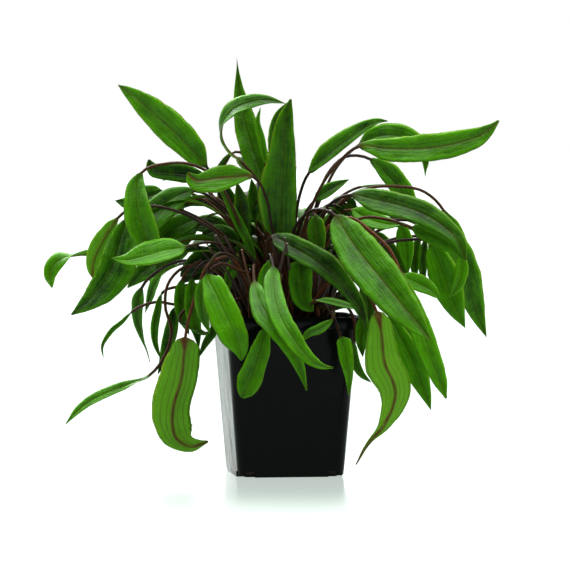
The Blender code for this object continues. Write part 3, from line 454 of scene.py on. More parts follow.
def grow_leaf_tree():
    """The tree that turns a leaf's line, with its attributes, into the leaf."""
    tree, add, size = new_tree("grow_leaf", {
        "Around": AROUND, "Thickness": BLADE_THICKNESS, "Midrib Width": MIDRIB_WIDTH,
        "Midrib Height": MIDRIB_HEIGHT, "Channel Depth": CHANNEL_DEPTH, "Bulge": BULGE,
        "Wave Height": WAVE_HEIGHT, "Wave Length": WAVE_LENGTH, "Unevenness": UNEVENNESS,
        "Leaf": None})
    share, half, stalk, along, seed, turn = (
        add("InputNamedAttribute", name, data_type="FLOAT")
        for name in ("share", "half", "stalk", "along", "seed", "turn"))
    middle, right, left, up = (
        add("InputNamedAttribute", name, data_type="FLOAT_VECTOR")
        for name in ("middle", "right", "left", "up"))

    # The ring: where on it a point lies, as a turn from 0 to 2, from right margin to right margin
    part = add("DIVIDE", add("InputIndex"), size["Around"])
    twice = add("MULTIPLY", part, 2.0)
    circle = add("CurvePrimitiveCircle", {"Resolution": size["Around"], "Radius": MM})
    ring = add("StoreNamedAttribute", {"Geometry": circle, "Name": "turn", "Value": twice})
    line = add("MeshToCurve", size["Geometry"])
    swept = add("CurveToMesh", {"Curve": line, "Profile Curve": ring, "Fill Caps": True})

    # Across the blade, from 1 at the right margin to -1 at the left, crowded near the midrib
    folded = add("PINGPONG", turn, 1.0)
    even = add("MULTIPLY_ADD", folded, -2.0, 1.0)
    squared = add("MULTIPLY", even, even)
    crowding = add("MULTIPLY_ADD", squared, CROWDING, 1 - CROWDING)
    across = add("MULTIPLY", even, crowding)
    outward = add("ABSOLUTE", across)
    upper = add("LESS_THAN", turn, 1.0)
    facing = add("MULTIPLY_ADD", upper, 2.0, -1.0)

    # The two faces, with a thickness that closes at the margins
    closing = add("POWER", outward, SHARP_MARGIN)
    opening = add("SUBTRACT", 1.0, closing)
    half_skin = add("MULTIPLY", size["Thickness"], 0.5)
    skin = add("MULTIPLY", opening, half_skin)

    # The midrib below and its channel above, which both fade towards the tip
    fading = add("MULTIPLY_ADD", share, -FADES_BY, 1.0)
    from_midrib = add("MULTIPLY", outward, half)
    width = add("MULTIPLY", size["Midrib Width"], fading)
    near = add("RANGE", from_midrib, 0.0, width, 1.0, 0.0, interpolation_type="SMOOTHERSTEP")
    relief = add("Switch", upper, size["Midrib Height"], size["Channel Depth"],
                 input_type="FLOAT")
    near = add("MULTIPLY", near, fading)
    midrib = add("MULTIPLY", near, relief)

    # Each half bulges between the midrib and the margin
    inward = add("SUBTRACT", 1.0, outward)
    arch = add("MULTIPLY", outward, inward)
    arch = add("MULTIPLY", arch, half)
    arch = add("MULTIPLY", arch, size["Bulge"])

    # The margins wave, each in its own way, and only where the blade is wide
    pace = add("DIVIDE", along, size["Wave Length"])
    on_right = add("GREATER_THAN", across, 0.0)
    which = add("MULTIPLY", on_right, OTHER_MARGIN)
    spot = add("COMBINE", pace, which, seed)
    noise = add("NOISE", spot, 1.0, 1.5)
    swing = add("SUBTRACT", noise.outputs["Fac"], 0.5)
    wide = add("RANGE", half, WAVY_FROM, WAVY_TO, 0.0, MOST_WAVY)
    towards = add("POWER", outward, 1.6)
    reach = add("MULTIPLY", towards, size["Wave Height"])
    reach = add("MULTIPLY", reach, wide)
    arch = add("MULTIPLY_ADD", swing, reach, arch)

    # The margins are uneven, with small nicks
    quick = add("VECTOR_SCALE", spot, NICKS_PER_WAVE)
    nicks = add("NOISE", quick, 1.0, 3.0)
    nicks = add("SUBTRACT", nicks.outputs["Fac"], 0.5)
    uneven = add("MULTIPLY_ADD", nicks, size["Unevenness"], 1.0)
    wide = add("MULTIPLY", outward, uneven)

    # Where the point goes on a blade
    height = add("MULTIPLY_ADD", facing, skin, arch)
    height = add("SUBTRACT", height, midrib)
    margin = add("Switch", on_right, left, right, input_type="VECTOR")
    sideways = add("VECTOR_SCALE", margin, wide)
    upward = add("VECTOR_SCALE", up, height)
    on_blade = add("VECTOR_ADD", sideways, upward)

    # Where it goes on a round stalk, and the passage from one to the other
    angle = add("MULTIPLY", turn, math.pi)
    cosine = add("COSINE", angle)
    sine = add("SINE", angle)
    height = add("MULTIPLY", sine, stalk)
    sideways = add("VECTOR_SCALE", right, cosine)
    upward = add("VECTOR_SCALE", up, height)
    on_stalk = add("VECTOR_ADD", sideways, upward)
    flat = add("SMOOTH_RANGE", share, BLADE_FROM, BLADE_TO)
    offset = add("MIX_VECTOR", flat, on_stalk, on_blade)
    place = add("VECTOR_ADD", middle, offset)
    shaped = add("SetPosition", {"Geometry": swept, "Position": place})

    # What the finish needs to know, a closed tip, and faces that look outward
    for name, value in (("across", across), ("upper", upper)):
        shaped = add("StoreNamedAttribute", {"Geometry": shaped, "Name": name, "Value": value})
    shaped = add("MergeByDistance", {"Geometry": shaped, "Distance": MERGED})
    shaped = add("FlipFaces", shaped)
    shaped = add("SetShadeSmooth", shaped)
    shaped = add("RealizeInstances", shaped)
    shaped = add("SetMaterial", {"Geometry": shaped, "Material": size["Leaf"]})
    add("NodeGroupOutput", shaped)
    return tree


leaf_tree = grow_leaf_tree()
print("the leaf tree has", len(leaf_tree.nodes), "nodes")

# %% [markdown]
# ## Grow a leaf from its lines
#
# The tree wants a mesh that is only the leaf's middle line, a row of points joined by edges, and
# reads the rest from attributes of the points. The modifier's inputs are set by their sockets'
# identifiers. The result is kept as a plain mesh, so that nothing live is left on the piece.

# %% Grow leaves
def give_tree(piece, tree, title, finish):
    """Puts a tree on a piece, and a finish in the tree's named input."""
    growing = piece.modifiers.new("grow", "NODES")
    growing.node_group = tree
    socket = next(item for item in tree.interface.items_tree if item.name == title)
    growing[socket.identifier] = finish


def plain_mesh(piece):
    """A piece's mesh with its modifiers applied."""
    bpy.context.view_layer.update()
    evaluated = piece.evaluated_get(bpy.context.evaluated_depsgraph_get())
    return bpy.data.meshes.new_from_object(evaluated)


def make_plain(piece):
    """Applies a piece's modifiers, so that nothing live is left on it."""
    mesh = plain_mesh(piece)
    piece.modifiers.clear()
    piece.data = mesh
    mesh.name = piece.name


def grow(name, fine, finish, look):
    """A leaf as a plain mesh. Look holds what differs from leaf to leaf in its finish."""
    line = bpy.data.meshes.new(name)
    count = len(fine["share"])
    line.from_pydata(fine["middle"].tolist(), [(k, k + 1) for k in range(count - 1)], [])
    for title, values in {**fine, **look}.items():
        values = np.broadcast_to(values, (count,) + np.shape(values)[1:]).astype(np.float32)
        is_vector = values.ndim == 2
        kept = line.attributes.new(title, "FLOAT_VECTOR" if is_vector else "FLOAT", "POINT")
        kept.data.foreach_set("vector" if is_vector else "value", values.ravel())
    grown = show(name, line)
    give_tree(grown, leaf_tree, "Leaf", finish)
    make_plain(grown)
    bpy.data.meshes.remove(line)
    grown.data.name = name
    return grown


def inside_volume(piece):
    """The volume inside a piece, which is negative if its faces look inward."""
    shape = bmesh.new()
    shape.from_mesh(piece.data)
    volume = shape.calc_volume(signed=True)
    open_edges = sum(not edge.is_manifold for edge in shape.edges)
    shape.free()
    return volume, open_edges


# %% [markdown]
# ## Start a finish
#
# Every finish here is one Principled shader, because that is what the export carries to other
# programs. What varies over the surface reaches it through nodes, and what is the same all over
# is set on the shader's own sockets.

# %% Start a finish
def new_finish(name):
    """An empty material, and what adds nodes to it."""
    finish = bpy.data.materials.new(name)
    finish.use_nodes = True
    finish.node_tree.nodes.clear()
    return finish, functools.partial(add_node, finish.node_tree)


# %% [markdown]
# ## The leaf's finish
#
# A leaf of this plant, grown in air, is a thin living sheet under a thin layer of wax, which gives
# it a soft shine. The sheet lets light through, so a leaf with the light behind it glows
# yellow-green. The upper face is a full green, lighter along the margins. The underside is paler
# and duller, with a raised brown midrib. The stalk is smooth and reddish brown. The veins run
# along the blade in arcs about 3 mm apart, with much finer cross veins, here drawn 1.4 mm apart,
# because the real 0.5 mm would not show.

# %% Mix the leaf's finish
def leaf_finish():
    """A waxy leaf, green above, paler below, on a brown stalk."""
    finish, add = new_finish("waxy_leaf")
    tone, rib, warm, old, across, upper, share, along, half, seed = (
        add("ATTRIBUTE", attribute_name=name).outputs["Fac"] for name in (
            "tone", "rib", "warm", "old", "across", "upper", "share", "along", "half", "seed"))

    # Where a point lies on the leaf, in millimetres along it and out from its midrib
    along = add("MULTIPLY", along, 1 / MM)
    half = add("MULTIPLY", half, 1 / MM)
    sideways = add("MULTIPLY", across, half)
    outward = add("ABSOLUTE", across)
    from_midrib = add("ABSOLUTE", sideways)
    spot = add("COMBINE", along, sideways, seed)

    # Long streaks beside the midrib, short cross veins, and arched main veins
    lengthwise = add("VECTOR_MULTIPLY", spot, (0.09, 0.5, 1.0))
    streak = add("NOISE", lengthwise, 1.0, 3.0)
    crosswise = add("VECTOR_MULTIPLY", spot, (0.75, 0.2, 1.0))
    wrinkle = add("NOISE", crosswise, 1.0, 2.0)
    vein = add("MULTIPLY", outward, 3.4)
    vein = add("PINGPONG", vein, 0.5)
    vein = add("SMOOTH_RANGE", vein, 0.0, 0.14, 1.0, 0.0)

    # Green: darkest beside the midrib, lightest near the margins, with clouds and streaks in it
    cloud = add("NOISE", spot, 0.1, 3.0)
    cloud = add("MULTIPLY_ADD", cloud, 1.3, streak)
    cloud = add("MULTIPLY_ADD", wrinkle, 0.5, cloud)
    cloud = add("MULTIPLY_ADD", cloud, 0.6, -0.9)
    light = add("ADD", tone, cloud)
    lighter = add("SMOOTH_RANGE", outward, 0.25, 1.0, 0.0, 0.35)
    light = add("ADD", light, lighter)
    # A painted shade darkens the very margin, where the blade's thin sides catch the light
    edge = add("RANGE", outward, 0.93, 1.0, 0.0, -0.6)
    light = add("ADD", light, edge)
    light = add("MULTIPLY_ADD", vein, -0.1, light, use_clamp=True)
    green = add("MIX_COLOUR", light, colour("#092c00"), colour("#4f9800"))

    # An old leaf turns to a dull olive. A leaf lying in shade gets the same olive, as painted shade
    green = add("MIX_COLOUR", old, green, colour("#20270a"))

    # The underside is paler, most of all on a young leaf
    paler = add("MULTIPLY_ADD", tone, 0.6, 0.15)
    under = add("MIX_COLOUR", paler, green, colour("#74b428"))
    skin = add("MIX_COLOUR", upper, under, green)

    # The midrib: a soft brown band above, a clear ridge below and on the leaves that show it
    band = add("SMOOTH_RANGE", from_midrib, 0.2, 1.9, 1.0, 0.0)
    ridge = add("MULTIPLY_ADD", upper, -0.75, 0.85)
    ridge = add("MAXIMUM", rib, ridge)
    ridge = add("MULTIPLY", ridge, streak)
    ridge = add("MULTIPLY", ridge, band)
    ridge = add("MULTIPLY", ridge, 1.7, use_clamp=True)
    skin = add("MIX_COLOUR", ridge, skin, colour("#5b3218"))

    # Where the midrib is brown, the veins beside it are tinged with brown too
    reddish = add("MULTIPLY", vein, rib)
    reddish = add("MULTIPLY", reddish, 0.45, use_clamp=True)
    skin = add("MIX_COLOUR", reddish, skin, colour("#4a3a14"))

    # The stalk: nearly black to tan, in streaks, and greener towards the blade
    mottle = add("NOISE", crosswise, 0.13, 4.0)
    streaky = add("MULTIPLY_ADD", mottle, 0.7, -0.35)
    warm = add("ADD", warm, streaky, use_clamp=True)
    brown = add("MIX_COLOUR", warm, colour("#150b06"), colour("#6f3c20"))
    greener = add("RANGE", mottle, 0.5, 0.75, 0.0, 0.7)
    brown = add("MIX_COLOUR", greener, brown, colour("#2f3a12"))
    on_blade = add("SMOOTH_RANGE", share, -0.015, 0.05)
    skin = add("MIX_COLOUR", on_blade, brown, skin)

    # Relief and gloss
    relief = add("MULTIPLY_ADD", wrinkle, 0.45, streak)
    relief = add("MULTIPLY_ADD", vein, -0.14, relief)
    bump = add("BUMP", {"Strength": 0.9, "Distance": 0.9 * MM, "Height": relief})
    gloss = add("MULTIPLY_ADD", streak, 0.3, 0.16)
    duller = add("MULTIPLY_ADD", upper, -0.14, 0.14)
    gloss = add("ADD", gloss, duller)
    shader = add("PRINCIPLED", {"Base Color": skin, "Roughness": gloss, "Normal": bump, "IOR": 1.45,
                                "Subsurface Weight": 0.15, "Subsurface Radius": (1.0, 1.3, 0.25),
                                "Subsurface Scale": 0.6 * MM, "Specular IOR Level": 0.14,
                                "Coat Weight": 0.04, "Coat Roughness": 0.15})
    add("ShaderNodeOutputMaterial", shader)
    return finish


waxy_leaf = leaf_finish()
print("the leaf's finish has", len(waxy_leaf.node_tree.nodes), "nodes")

# %% [markdown]
# ## Grow every leaf of the frame
#
# The table gives each leaf its tone, from 0 for the oldest and darkest to 1 for the youngest.
# A leaf that lies in shade, such as leaf_47, gets a low tone and the olive of age too: painted
# shade.

# %% Grow the leaves
TONES = {
    1: 0.65, 2: 0.35, 3: 0.5, 4: 0.35, 5: 0.4, 6: 0.75, 7: 0.15, 8: 0.5, 9: 0.25, 10: 0.3, 11: 0.25,
    12: 0.8, 13: 0.7, 14: 0.75, 15: 0.65, 16: 0.7, 17: 0.35, 18: 0.3, 19: 0.3, 20: 0.4, 21: 0.4,
    22: 0.8, 23: 0.55, 24: 0.65, 25: 0.65, 28: 0.5, 29: 0.65, 30: 0.5, 31: 0.3, 32: 0.6, 33: 0.35,
    34: 0.9, 35: 0.7, 36: 0.85, 37: 0.5, 38: 0.8, 39: 0.7, 40: 1.15, 41: 0.75, 42: 0.2, 45: 0.9,
    46: 0.85, 47: 0.1,
}
OTHER_TONE = 0.4
BROWN_RIBS = {6: 0.8, 15: 1.0, 40: 1.0, 29: 0.4, 1: 0.25, 31: 0.2, 37: 0.3}
# how much dull olive each leaf gets: age, and for leaf_47, which lies in shade, painted shade
AGES_AND_SHADE = {3: 0.2, 4: 0.15, 5: 0.3, 47: 1.0, 42: 0.25, 44: 0.2, 6: 0.1, 34: 0.1}
WARM_STALKS = {38: 1.0, 29: 0.35, 32: 0.6, 33: 0.5, 9: 0.4, 15: 0.7, 40: 0.7, 2: 0.45, 46: 0.6}

pieces = []
for name in leaf_names:
    number = int(name[-2:])
    look = {"seed": 10.0 * number, "tone": TONES.get(number, OTHER_TONE),
            "rib": BROWN_RIBS.get(number, 0.0), "old": AGES_AND_SHADE.get(number, 0.0),
            "warm": WARM_STALKS.get(number, 0.1 + 0.25 * (number % 4 == 0))}
    piece = grow("grown_" + name, leaves[name], waxy_leaf, look)
    volume, open_edges = inside_volume(piece)
    if volume < 0 or open_edges:
        print(name, "needs a look: volume", volume, "open edges", open_edges)
    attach(piece, "root")
    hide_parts(name)
    pieces.append(piece)
print("grown leaves:", len(pieces), "faces:", sum(len(p.data.polygons) for p in pieces))

# %% [markdown]
# ## The small leaves, and the leaves at the back
#
# The solids stand for the leaves that carry the plant's outline. Between and behind them grow
# smaller ones: narrow blades, young leaves lying on the rim, and shaded leaves that close the
# crown. The shaded ones get a low tone and a dull olive, which is painted shade. Each is
# sketched with a few points and grown by the same tree. Those in the table are placed as they
# look from the front, seen from the camera's distance, with the depth that their overlaps
# suggest. The others follow a rule: a stalk leans out of the crown in some direction, arches
# over, and ends in a blade. A seeded generator varies them, and one that would close a gap where
# the light shows through from behind is left out.

# %% Sketch a leaf with a few points
SOIL_TOP = 94.0
CUP = 0.16
WIDEST = 0.42
FULLNESS = 0.85
ON_STALK, ON_BLADE = 6, 13


def as_seen(points):
    """Points in millimetres, moved so that they look right from the camera's distance."""
    points = np.array(points, dtype=float)
    wider = 1 + points[:, 1:2] * MM / VIEW_DISTANCE
    centre = np.array([0.0, 0.0, VIEW_HEIGHT / MM])
    moved = centre + (points - centre) * wider
    moved[:, 1] = points[:, 1]
    return moved


def sketch_leaf(points, base, width, facing=None, across=None):
    """Fine lines of a leaf through points in millimetres, whose blade starts at the base point.

    Either the way its upper side looks is given, or the direction across it.
    """
    points = np.array(points, dtype=float) * MM
    places = lengths_along(points)
    start = places[base]
    stations = np.concatenate([np.linspace(0, start, ON_STALK, endpoint=False),
                               np.linspace(start, places[-1], ON_BLADE)])
    middle = smooth_along(places, points, stations)
    share = np.clip((stations - start) / (places[-1] - start), 0, 1)[:, None]
    bulge = np.sin(np.pi * share ** (math.log(0.5) / math.log(WIDEST)))
    half = width / 2 * MM * np.clip(bulge, 0, 1) ** FULLNESS
    onward = unit(np.gradient(middle, axis=0))
    side = np.cross(onward, facing) if across is None else np.broadcast_to(across, onward.shape)
    side = unit(side - np.sum(side * onward, axis=1)[:, None] * onward)
    up = np.cross(side, onward)
    return fine_lines(middle, half * (side + CUP * up), half * (CUP * up - side), up, ON_STALK)


# %% The small leaves that show from the front
CROWN_REACH = 24.0
ARCH = 12.0
FOOT_ACROSS, FOOT_DEEP = 0.12, 0.2
# a small leaf in the crown's shade gets some dull olive: painted shade
UNSHADED, SHADED = 0.0, 0.35
FIRST_SEED = 100
# where the blade starts, width, facing, tone, painted shade (how much dull olive), and points
# (across, deep, high) from the foot
SMALL_LEAVES = [
    (2, 5, (0.2, -1, 0.1), 0.9, UNSHADED,
     [(-6, 6, 150), (-9, 6, 178), (-12, 6, 195), (-14.5, 6, 210), (-17, 6, 222), (-15, 6, 231)]),
    (2, 3.2, (0.2, -1, 0.4), 0.6, UNSHADED,
     [(-72, 8, 106), (-84, 8, 108), (-96, 8, 102), (-103, 8, 95), (-108, 8, 91), (-112, 8, 86),
      (-115, 8, 80), (-114, 8, 72)]),
    (2, 5.5, (0.3, -1, 0.1), 0.55, UNSHADED,
     [(-66, 2, 118), (-73, 2, 118), (-77, 2, 114), (-80, 2, 103), (-82, 2, 92), (-81.5, 2, 82),
      (-77.5, 2, 71)]),
    (2, 9, (-0.2, -1, 0.1), 0.2, UNSHADED,
     [(-55, 12, 112), (-63, 12, 112), (-68, 12, 106), (-71, 12, 92), (-74, 12, 80), (-77, 12, 70),
      (-80, 12, 62)]),
    (2, 9, (-0.5, -1, 0.2), 0.5, UNSHADED,
     [(-30, -40, 128), (-44, -44, 132), (-50, -44, 124), (-52.5, -44, 112), (-51, -44, 100),
      (-47, -44, 88)]),
    (2, 6, (0.1, -0.7, 0.8), 0.2, UNSHADED,
     [(-60, -20, 106), (-66, -22, 100), (-66, -24, 96), (-58, -26, 92), (-50, -27, 88),
      (-45, -28, 90)]),
    (2, 6, (0.6, -1, 0.2), 0.15, UNSHADED,
     [(-38, -34, 106), (-42, -36, 105), (-44, -37, 100), (-45, -38, 90), (-50, -38, 82),
      (-54, -38, 73)]),
    (2, 10, (0.2, -1, 0.2), 0.85, UNSHADED,
     [(-6, -30, 128), (-8, -36, 138), (-9.5, -38, 134), (-12, -38, 124), (-12, -38, 112),
      (-8, -38, 100)]),
    (2, 4.5, (0.3, -1, 0.2), 0.95, UNSHADED,
     [(80, 6, 150), (87, 6, 151), (90.5, 6, 147), (92.5, 6, 138), (92, 6, 130), (90, 6, 124)]),
    (2, 7, (-0.2, -1, 0.1), 0.3, UNSHADED,
     [(66, 20, 158), (78, 20, 158), (84, 20, 150), (82.5, 20, 140), (82, 20, 130), (83, 20, 120)]),
    (2, 7, (0.4, -1, 0.1), 0.2, UNSHADED,
     [(72, 26, 156), (82, 26, 155), (88, 26, 148), (87, 26, 138), (87, 26, 128), (88, 26, 118)]),
    (1, 8, (0, -0.6, 1), 0.8, UNSHADED,
     [(14, -36, 104), (20, -43, 109), (28, -45, 108.5), (38, -46, 106), (49, -46, 102.8)]),
    (2, 7, (-0.2, -1, 0.5), 0.55, UNSHADED,
     [(24, -38, 104), (32, -48, 103), (30, -52, 97), (22, -52, 91), (15, -52, 88), (10, -52, 82)]),
    (3, 20, (-0.3, -1, 0.4), 0.15, SHADED,
     [(-16, 14, 130), (-34, 20, 160), (-50, 22, 173), (-62, 24, 172), (-74, 24, 163),
      (-83, 24, 152), (-89, 24, 141)]),
    (3, 19, (-0.3, -1, 0.4), 0.25, SHADED,
     [(-14, 14, 120), (-28, 20, 142), (-42, 24, 156), (-54, 26, 157), (-65, 26, 150),
      (-75, 26, 139), (-81, 26, 128)]),
    (3, 15, (-0.3, -1, 0.5), 0.1, SHADED,
     [(-12, 12, 112), (-24, 14, 128), (-36, 14, 138), (-46, 14, 138), (-57, 14, 131),
      (-66, 14, 124)]),
    (2, 13, (-0.2, -1, 0.1), 0.1, SHADED,
     [(-10, 16, 115), (-20, 22, 140), (-28, 26, 156), (-34, 28, 168), (-38, 28, 178),
      (-40, 28, 188)]),
    (1, 12, (0.2, -1, 0.1), 0.15, SHADED,
     [(-4, 18, 110), (-9, 24, 130), (-12, 28, 148), (-13, 30, 160), (-12, 30, 172)]),
    (2, 15, (0.2, -1, 0.4), 0.3, SHADED,
     [(8, 16, 112), (16, 22, 130), (24, 26, 146), (32, 30, 158), (42, 32, 164), (52, 32, 163)]),
    (2, 17, (0.2, -1, 0.4), 0.2, SHADED,
     [(8, 18, 110), (20, 24, 122), (32, 28, 134), (42, 30, 143), (52, 30, 143), (60, 30, 137)]),
    (2, 15, (0.3, -1, 0.1), 0.3, SHADED,
     [(10, 18, 112), (34, 26, 142), (54, 30, 152), (66, 30, 138), (72, 30, 124), (76, 30, 108),
      (78, 30, 96)]),
    (2, 11, (-0.2, -1, 0.3), 0.25, SHADED,
     [(-8, 22, 112), (-20, 30, 140), (-30, 34, 158), (-36, 36, 166), (-42, 36, 171),
      (-49, 36, 173)]),
    (2, 14, (-0.2, -1, 0.4), 0.15, SHADED,
     [(-8, 20, 110), (-20, 28, 132), (-31, 32, 146), (-40, 34, 153), (-48, 34, 157),
      (-56, 34, 156), (-63, 34, 150)]),
    (1, 13, (0, -1, 0.1), 0.1, SHADED,
     [(-4, 22, 108), (-10, 26, 126), (-14, 28, 140), (-17, 28, 150), (-19, 28, 160),
      (-21, 28, 167)]),
    (2, 14, (-0.2, -1, 0.4), 0.15, SHADED,
     [(-8, 18, 108), (-20, 24, 124), (-30, 28, 134), (-38, 28, 139), (-46, 28, 139),
      (-53, 28, 134)]),
    (2, 14, (0.2, -1, 0.4), 0.15, SHADED,
     [(8, 22, 108), (18, 28, 124), (26, 30, 134), (34, 32, 138), (42, 32, 134), (47, 32, 124)]),
    (2, 13, (0.2, -1, 0.4), 0.1, SHADED,
     [(6, 22, 108), (10, 26, 122), (15, 28, 132), (20, 28, 138), (26, 28, 138), (31, 28, 132)]),
    (2, 14, (0.2, -1, 0.3), 0.05, SHADED,
     [(8, 12, 102), (14, 16, 110), (20, 20, 117), (27, 20, 121), (34, 20, 120), (41, 20, 114)]),
    (3, 6.5, (0.5, -1, 0.1), 0.5, UNSHADED,
     [(33, -32, 106), (41, -42, 105), (44, -47, 96), (44, -48, 83), (44, -48, 72), (48, -48, 63),
      (55, -48, 57)]),
    (2, 10, (0.2, -1, -0.15), 0.2, SHADED,
     [(-11, -4, 110), (-18, -4, 136), (-23, -4, 152), (-26, -4, 163), (-28, -4, 174),
      (-30, -4, 184)]),
    (3, 7, (-0.2, -1, 0.3), 0.2, SHADED,
     [(-12, 16, 118), (-24, 22, 150), (-34, 24, 165), (-42, 24, 170.5), (-52, 24, 171.5),
      (-60, 24, 170), (-64, 24, 167)]),
    (1, 13, (0.2, -1, 0.4), 0.05, SHADED,
     [(10, 16, 98), (20, 20, 104), (28, 24, 108), (36, 26, 108), (44, 26, 104)]),
    (3, 10, (0.2, -1, 0.2), 0.4, SHADED,
     [(14, 10, 108), (28, 14, 122), (40, 16, 126), (48, 16, 121), (52, 16, 110), (53, 16, 100),
      (52, 16, 92)]),
    (3, 13, (0.3, -1, 0.1), 0.4, SHADED,
     [(16, 16, 112), (60, 30, 162), (90, 34, 164), (104, 34, 148), (112, 34, 128), (118, 34, 108),
      (124, 34, 90)]),
    (2, 10, (-0.2, -1, 0.4), 0.15, SHADED,
     [(-14, 10, 106), (-28, 14, 120), (-40, 16, 126), (-50, 16, 127), (-60, 16, 124),
      (-67, 16, 119)]),
    (1, 6.5, (0.1, -1, 0.2), 0.45, UNSHADED,
     [(-12, -8, 112), (-18, -9, 134), (-25, -9, 150), (-32, -9, 164), (-38, -8, 175),
      (-43, -8, 182)]),
    (2, 8.5, (0.1, -1, 0.1), 0.35, UNSHADED,
     [(-9, 8, 120), (-15, 10, 142), (-18, 12, 158), (-19.5, 12, 170), (-20, 12, 180),
      (-21, 12, 186)]),
    (2, 12, (-0.2, -1, 0.4), 0.2, SHADED,
     [(-10, 4, 110), (-19, 6, 128), (-28, 8, 142), (-37, 10, 150), (-46, 12, 152),
      (-54, 12, 148)]),
]

sketched = []
for number, (base, width, facing, tone, painted_shade, points) in enumerate(SMALL_LEAVES):
    across, deep, high = points[0]
    if math.hypot(across, deep) > CROWN_REACH:
        foot = (FOOT_ACROSS * across, FOOT_DEEP * deep, SOIL_TOP - 1)
        way = (0.5 * across, 0.5 * deep, 0.5 * (SOIL_TOP + high) + ARCH)
        points, base = [foot, way] + points, base + 2
    fine = sketch_leaf(as_seen(points), base, width, facing=facing)
    look = {"seed": 10.0 * (FIRST_SEED + number), "tone": tone, "rib": 0.0, "warm": 0.3, "old": painted_shade}
    sketched.append(grow(f"small_leaf_{number + 1:02d}", fine, waxy_leaf, look))
print("small leaves:", len(sketched))

# %% The leaves at the back and in the crown
# gaps where the light shows through from behind, in millimetres as seen: left, right, low, high
LIGHT_GAPS = [(60, 73, 141, 157), (10, 20, 168, 185), (-60, -50, 161, 167), (-50, -41, 122, 130),
              (-80, -68, 105, 125), (-27, -21, 167, 182), (-73.5, -69, 98, 110), (33, 56, 183, 201)]
BACK_SEED = 7
FIRST_BACK_SEED = 200
DRIFT = 0.35
TILT = 0.25
FOOT_OUT = (3, 10)
STEPS_ALONG = 8
STRAIGHT_FIRST = 1.45
BLADE_FROM_POINT = (4, 6)
# the back leaves get some dull olive at random: age, and painted shade for leaves deep in the crown
BACK_WARMTHS, BACK_AGES_AND_SHADE = (0, 0.5), (0, 0.4)


def seen_from_front(points):
    """Where points look to be, in millimetres across and up."""
    nearer = VIEW_DISTANCE / (VIEW_DISTANCE + points[:, 1])
    high = VIEW_HEIGHT + (points[:, 2] - VIEW_HEIGHT) * nearer
    return np.column_stack([points[:, 0] * nearer, high]) / MM


def closes_a_gap(fine):
    """Whether a leaf would cover a gap that shows white from the front."""
    lines = [fine["middle"] + share * fine[margin]
             for margin in ("right", "left") for share in (0.0, 0.5, 1.0)]
    across, up = seen_from_front(np.vstack(lines)).T
    return any(((across > left) & (across < right) & (up > low) & (up < high)).any()
               for left, right, low, high in LIGHT_GAPS)


def arching_leaf(chance, bearing, reaches, rises, widths, droops):
    """A leaf that leans out of the crown towards a bearing in radians and arches over."""
    reach = chance.uniform(*reaches)
    rise = chance.uniform(*rises)
    droop = chance.uniform(*droops)
    drift = chance.uniform(-DRIFT, DRIFT)
    steps = np.linspace(0, 1, STEPS_ALONG)
    distance = chance.uniform(*FOOT_OUT) + reach * steps ** STRAIGHT_FIRST
    turned = bearing + drift * steps ** 2
    height = SOIL_TOP + rise * np.sin(np.pi * droop * steps) / math.sin(np.pi * min(droop, 0.5))
    points = np.column_stack([distance * np.sin(turned), distance * np.cos(turned), height])
    across = (math.cos(bearing), -math.sin(bearing), chance.uniform(-TILT, TILT))
    base = chance.integers(*BLADE_FROM_POINT)
    return sketch_leaf(points, base, chance.uniform(*widths), across=across)


# name: how many, bearings in degrees, reach, rise, width, droop, tone; lengths in millimetres
ROUNDS = {
    "back_leaf": (34, (-92, 92), (38, 92), (42, 118), (9, 19), (0.52, 0.86), (0.1, 0.7)),
    "crown_leaf": (52, (-95, 95), (8, 44), (28, 84), (11, 20), (0.4, 0.72), (0.0, 0.35)),
}
TRIES = 12
for title, row in ROUNDS.items():
    chance = np.random.default_rng(BACK_SEED)
    count, bearings, reaches, rises, widths, droops, tones = row
    kept = 0
    for k in range(count):
        bearing = math.radians(np.interp(k / (count - 1), (0, 1), bearings))
        for attempt in range(TRIES):
            fine = arching_leaf(chance, bearing, reaches, rises, widths, droops)
            if not closes_a_gap(fine):
                look = {"seed": 10.0 * (FIRST_BACK_SEED + len(sketched)),
                        "tone": chance.uniform(*tones), "rib": 0.0,
                        "warm": chance.uniform(*BACK_WARMTHS),
                        "old": chance.uniform(*BACK_AGES_AND_SHADE)}
                sketched.append(grow(f"{title}_{k:02d}", fine, waxy_leaf, look))
                kept += 1
                break
    print(title, "kept", kept, "of", count)

for piece in sketched:
    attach(piece, "root")

# %% [markdown]
# ## The old stalks in the crown
#
# A nursery plant of this kind drops leaves all the time, and the feet of their stalks stay: a
# dense, brown, fibrous bunch between the living stalks. They are lines in one mesh, each point
# with its thickness, swept into rods by a small tree.

# %% Grow the old stalks
OLD_STALKS = 190
OLD_SEED = 3
CLUMP = 25.0
RODS_PER_WARM = 5
LENGTHS, LEANS, THICKNESSES, DULL = (9, 60), (0.1, 0.6), (0.8, 1.7), (0.15, 0.2)
ROD_STEP, LEAST_STEPS = 4, 4
LEAST_LEAN = 0.4
FLARE = 1.3
TWIST, TWIST_PACE = 0.3, 5.0
TAPER = 0.45
WARMER = 0.6
SUNK = 2


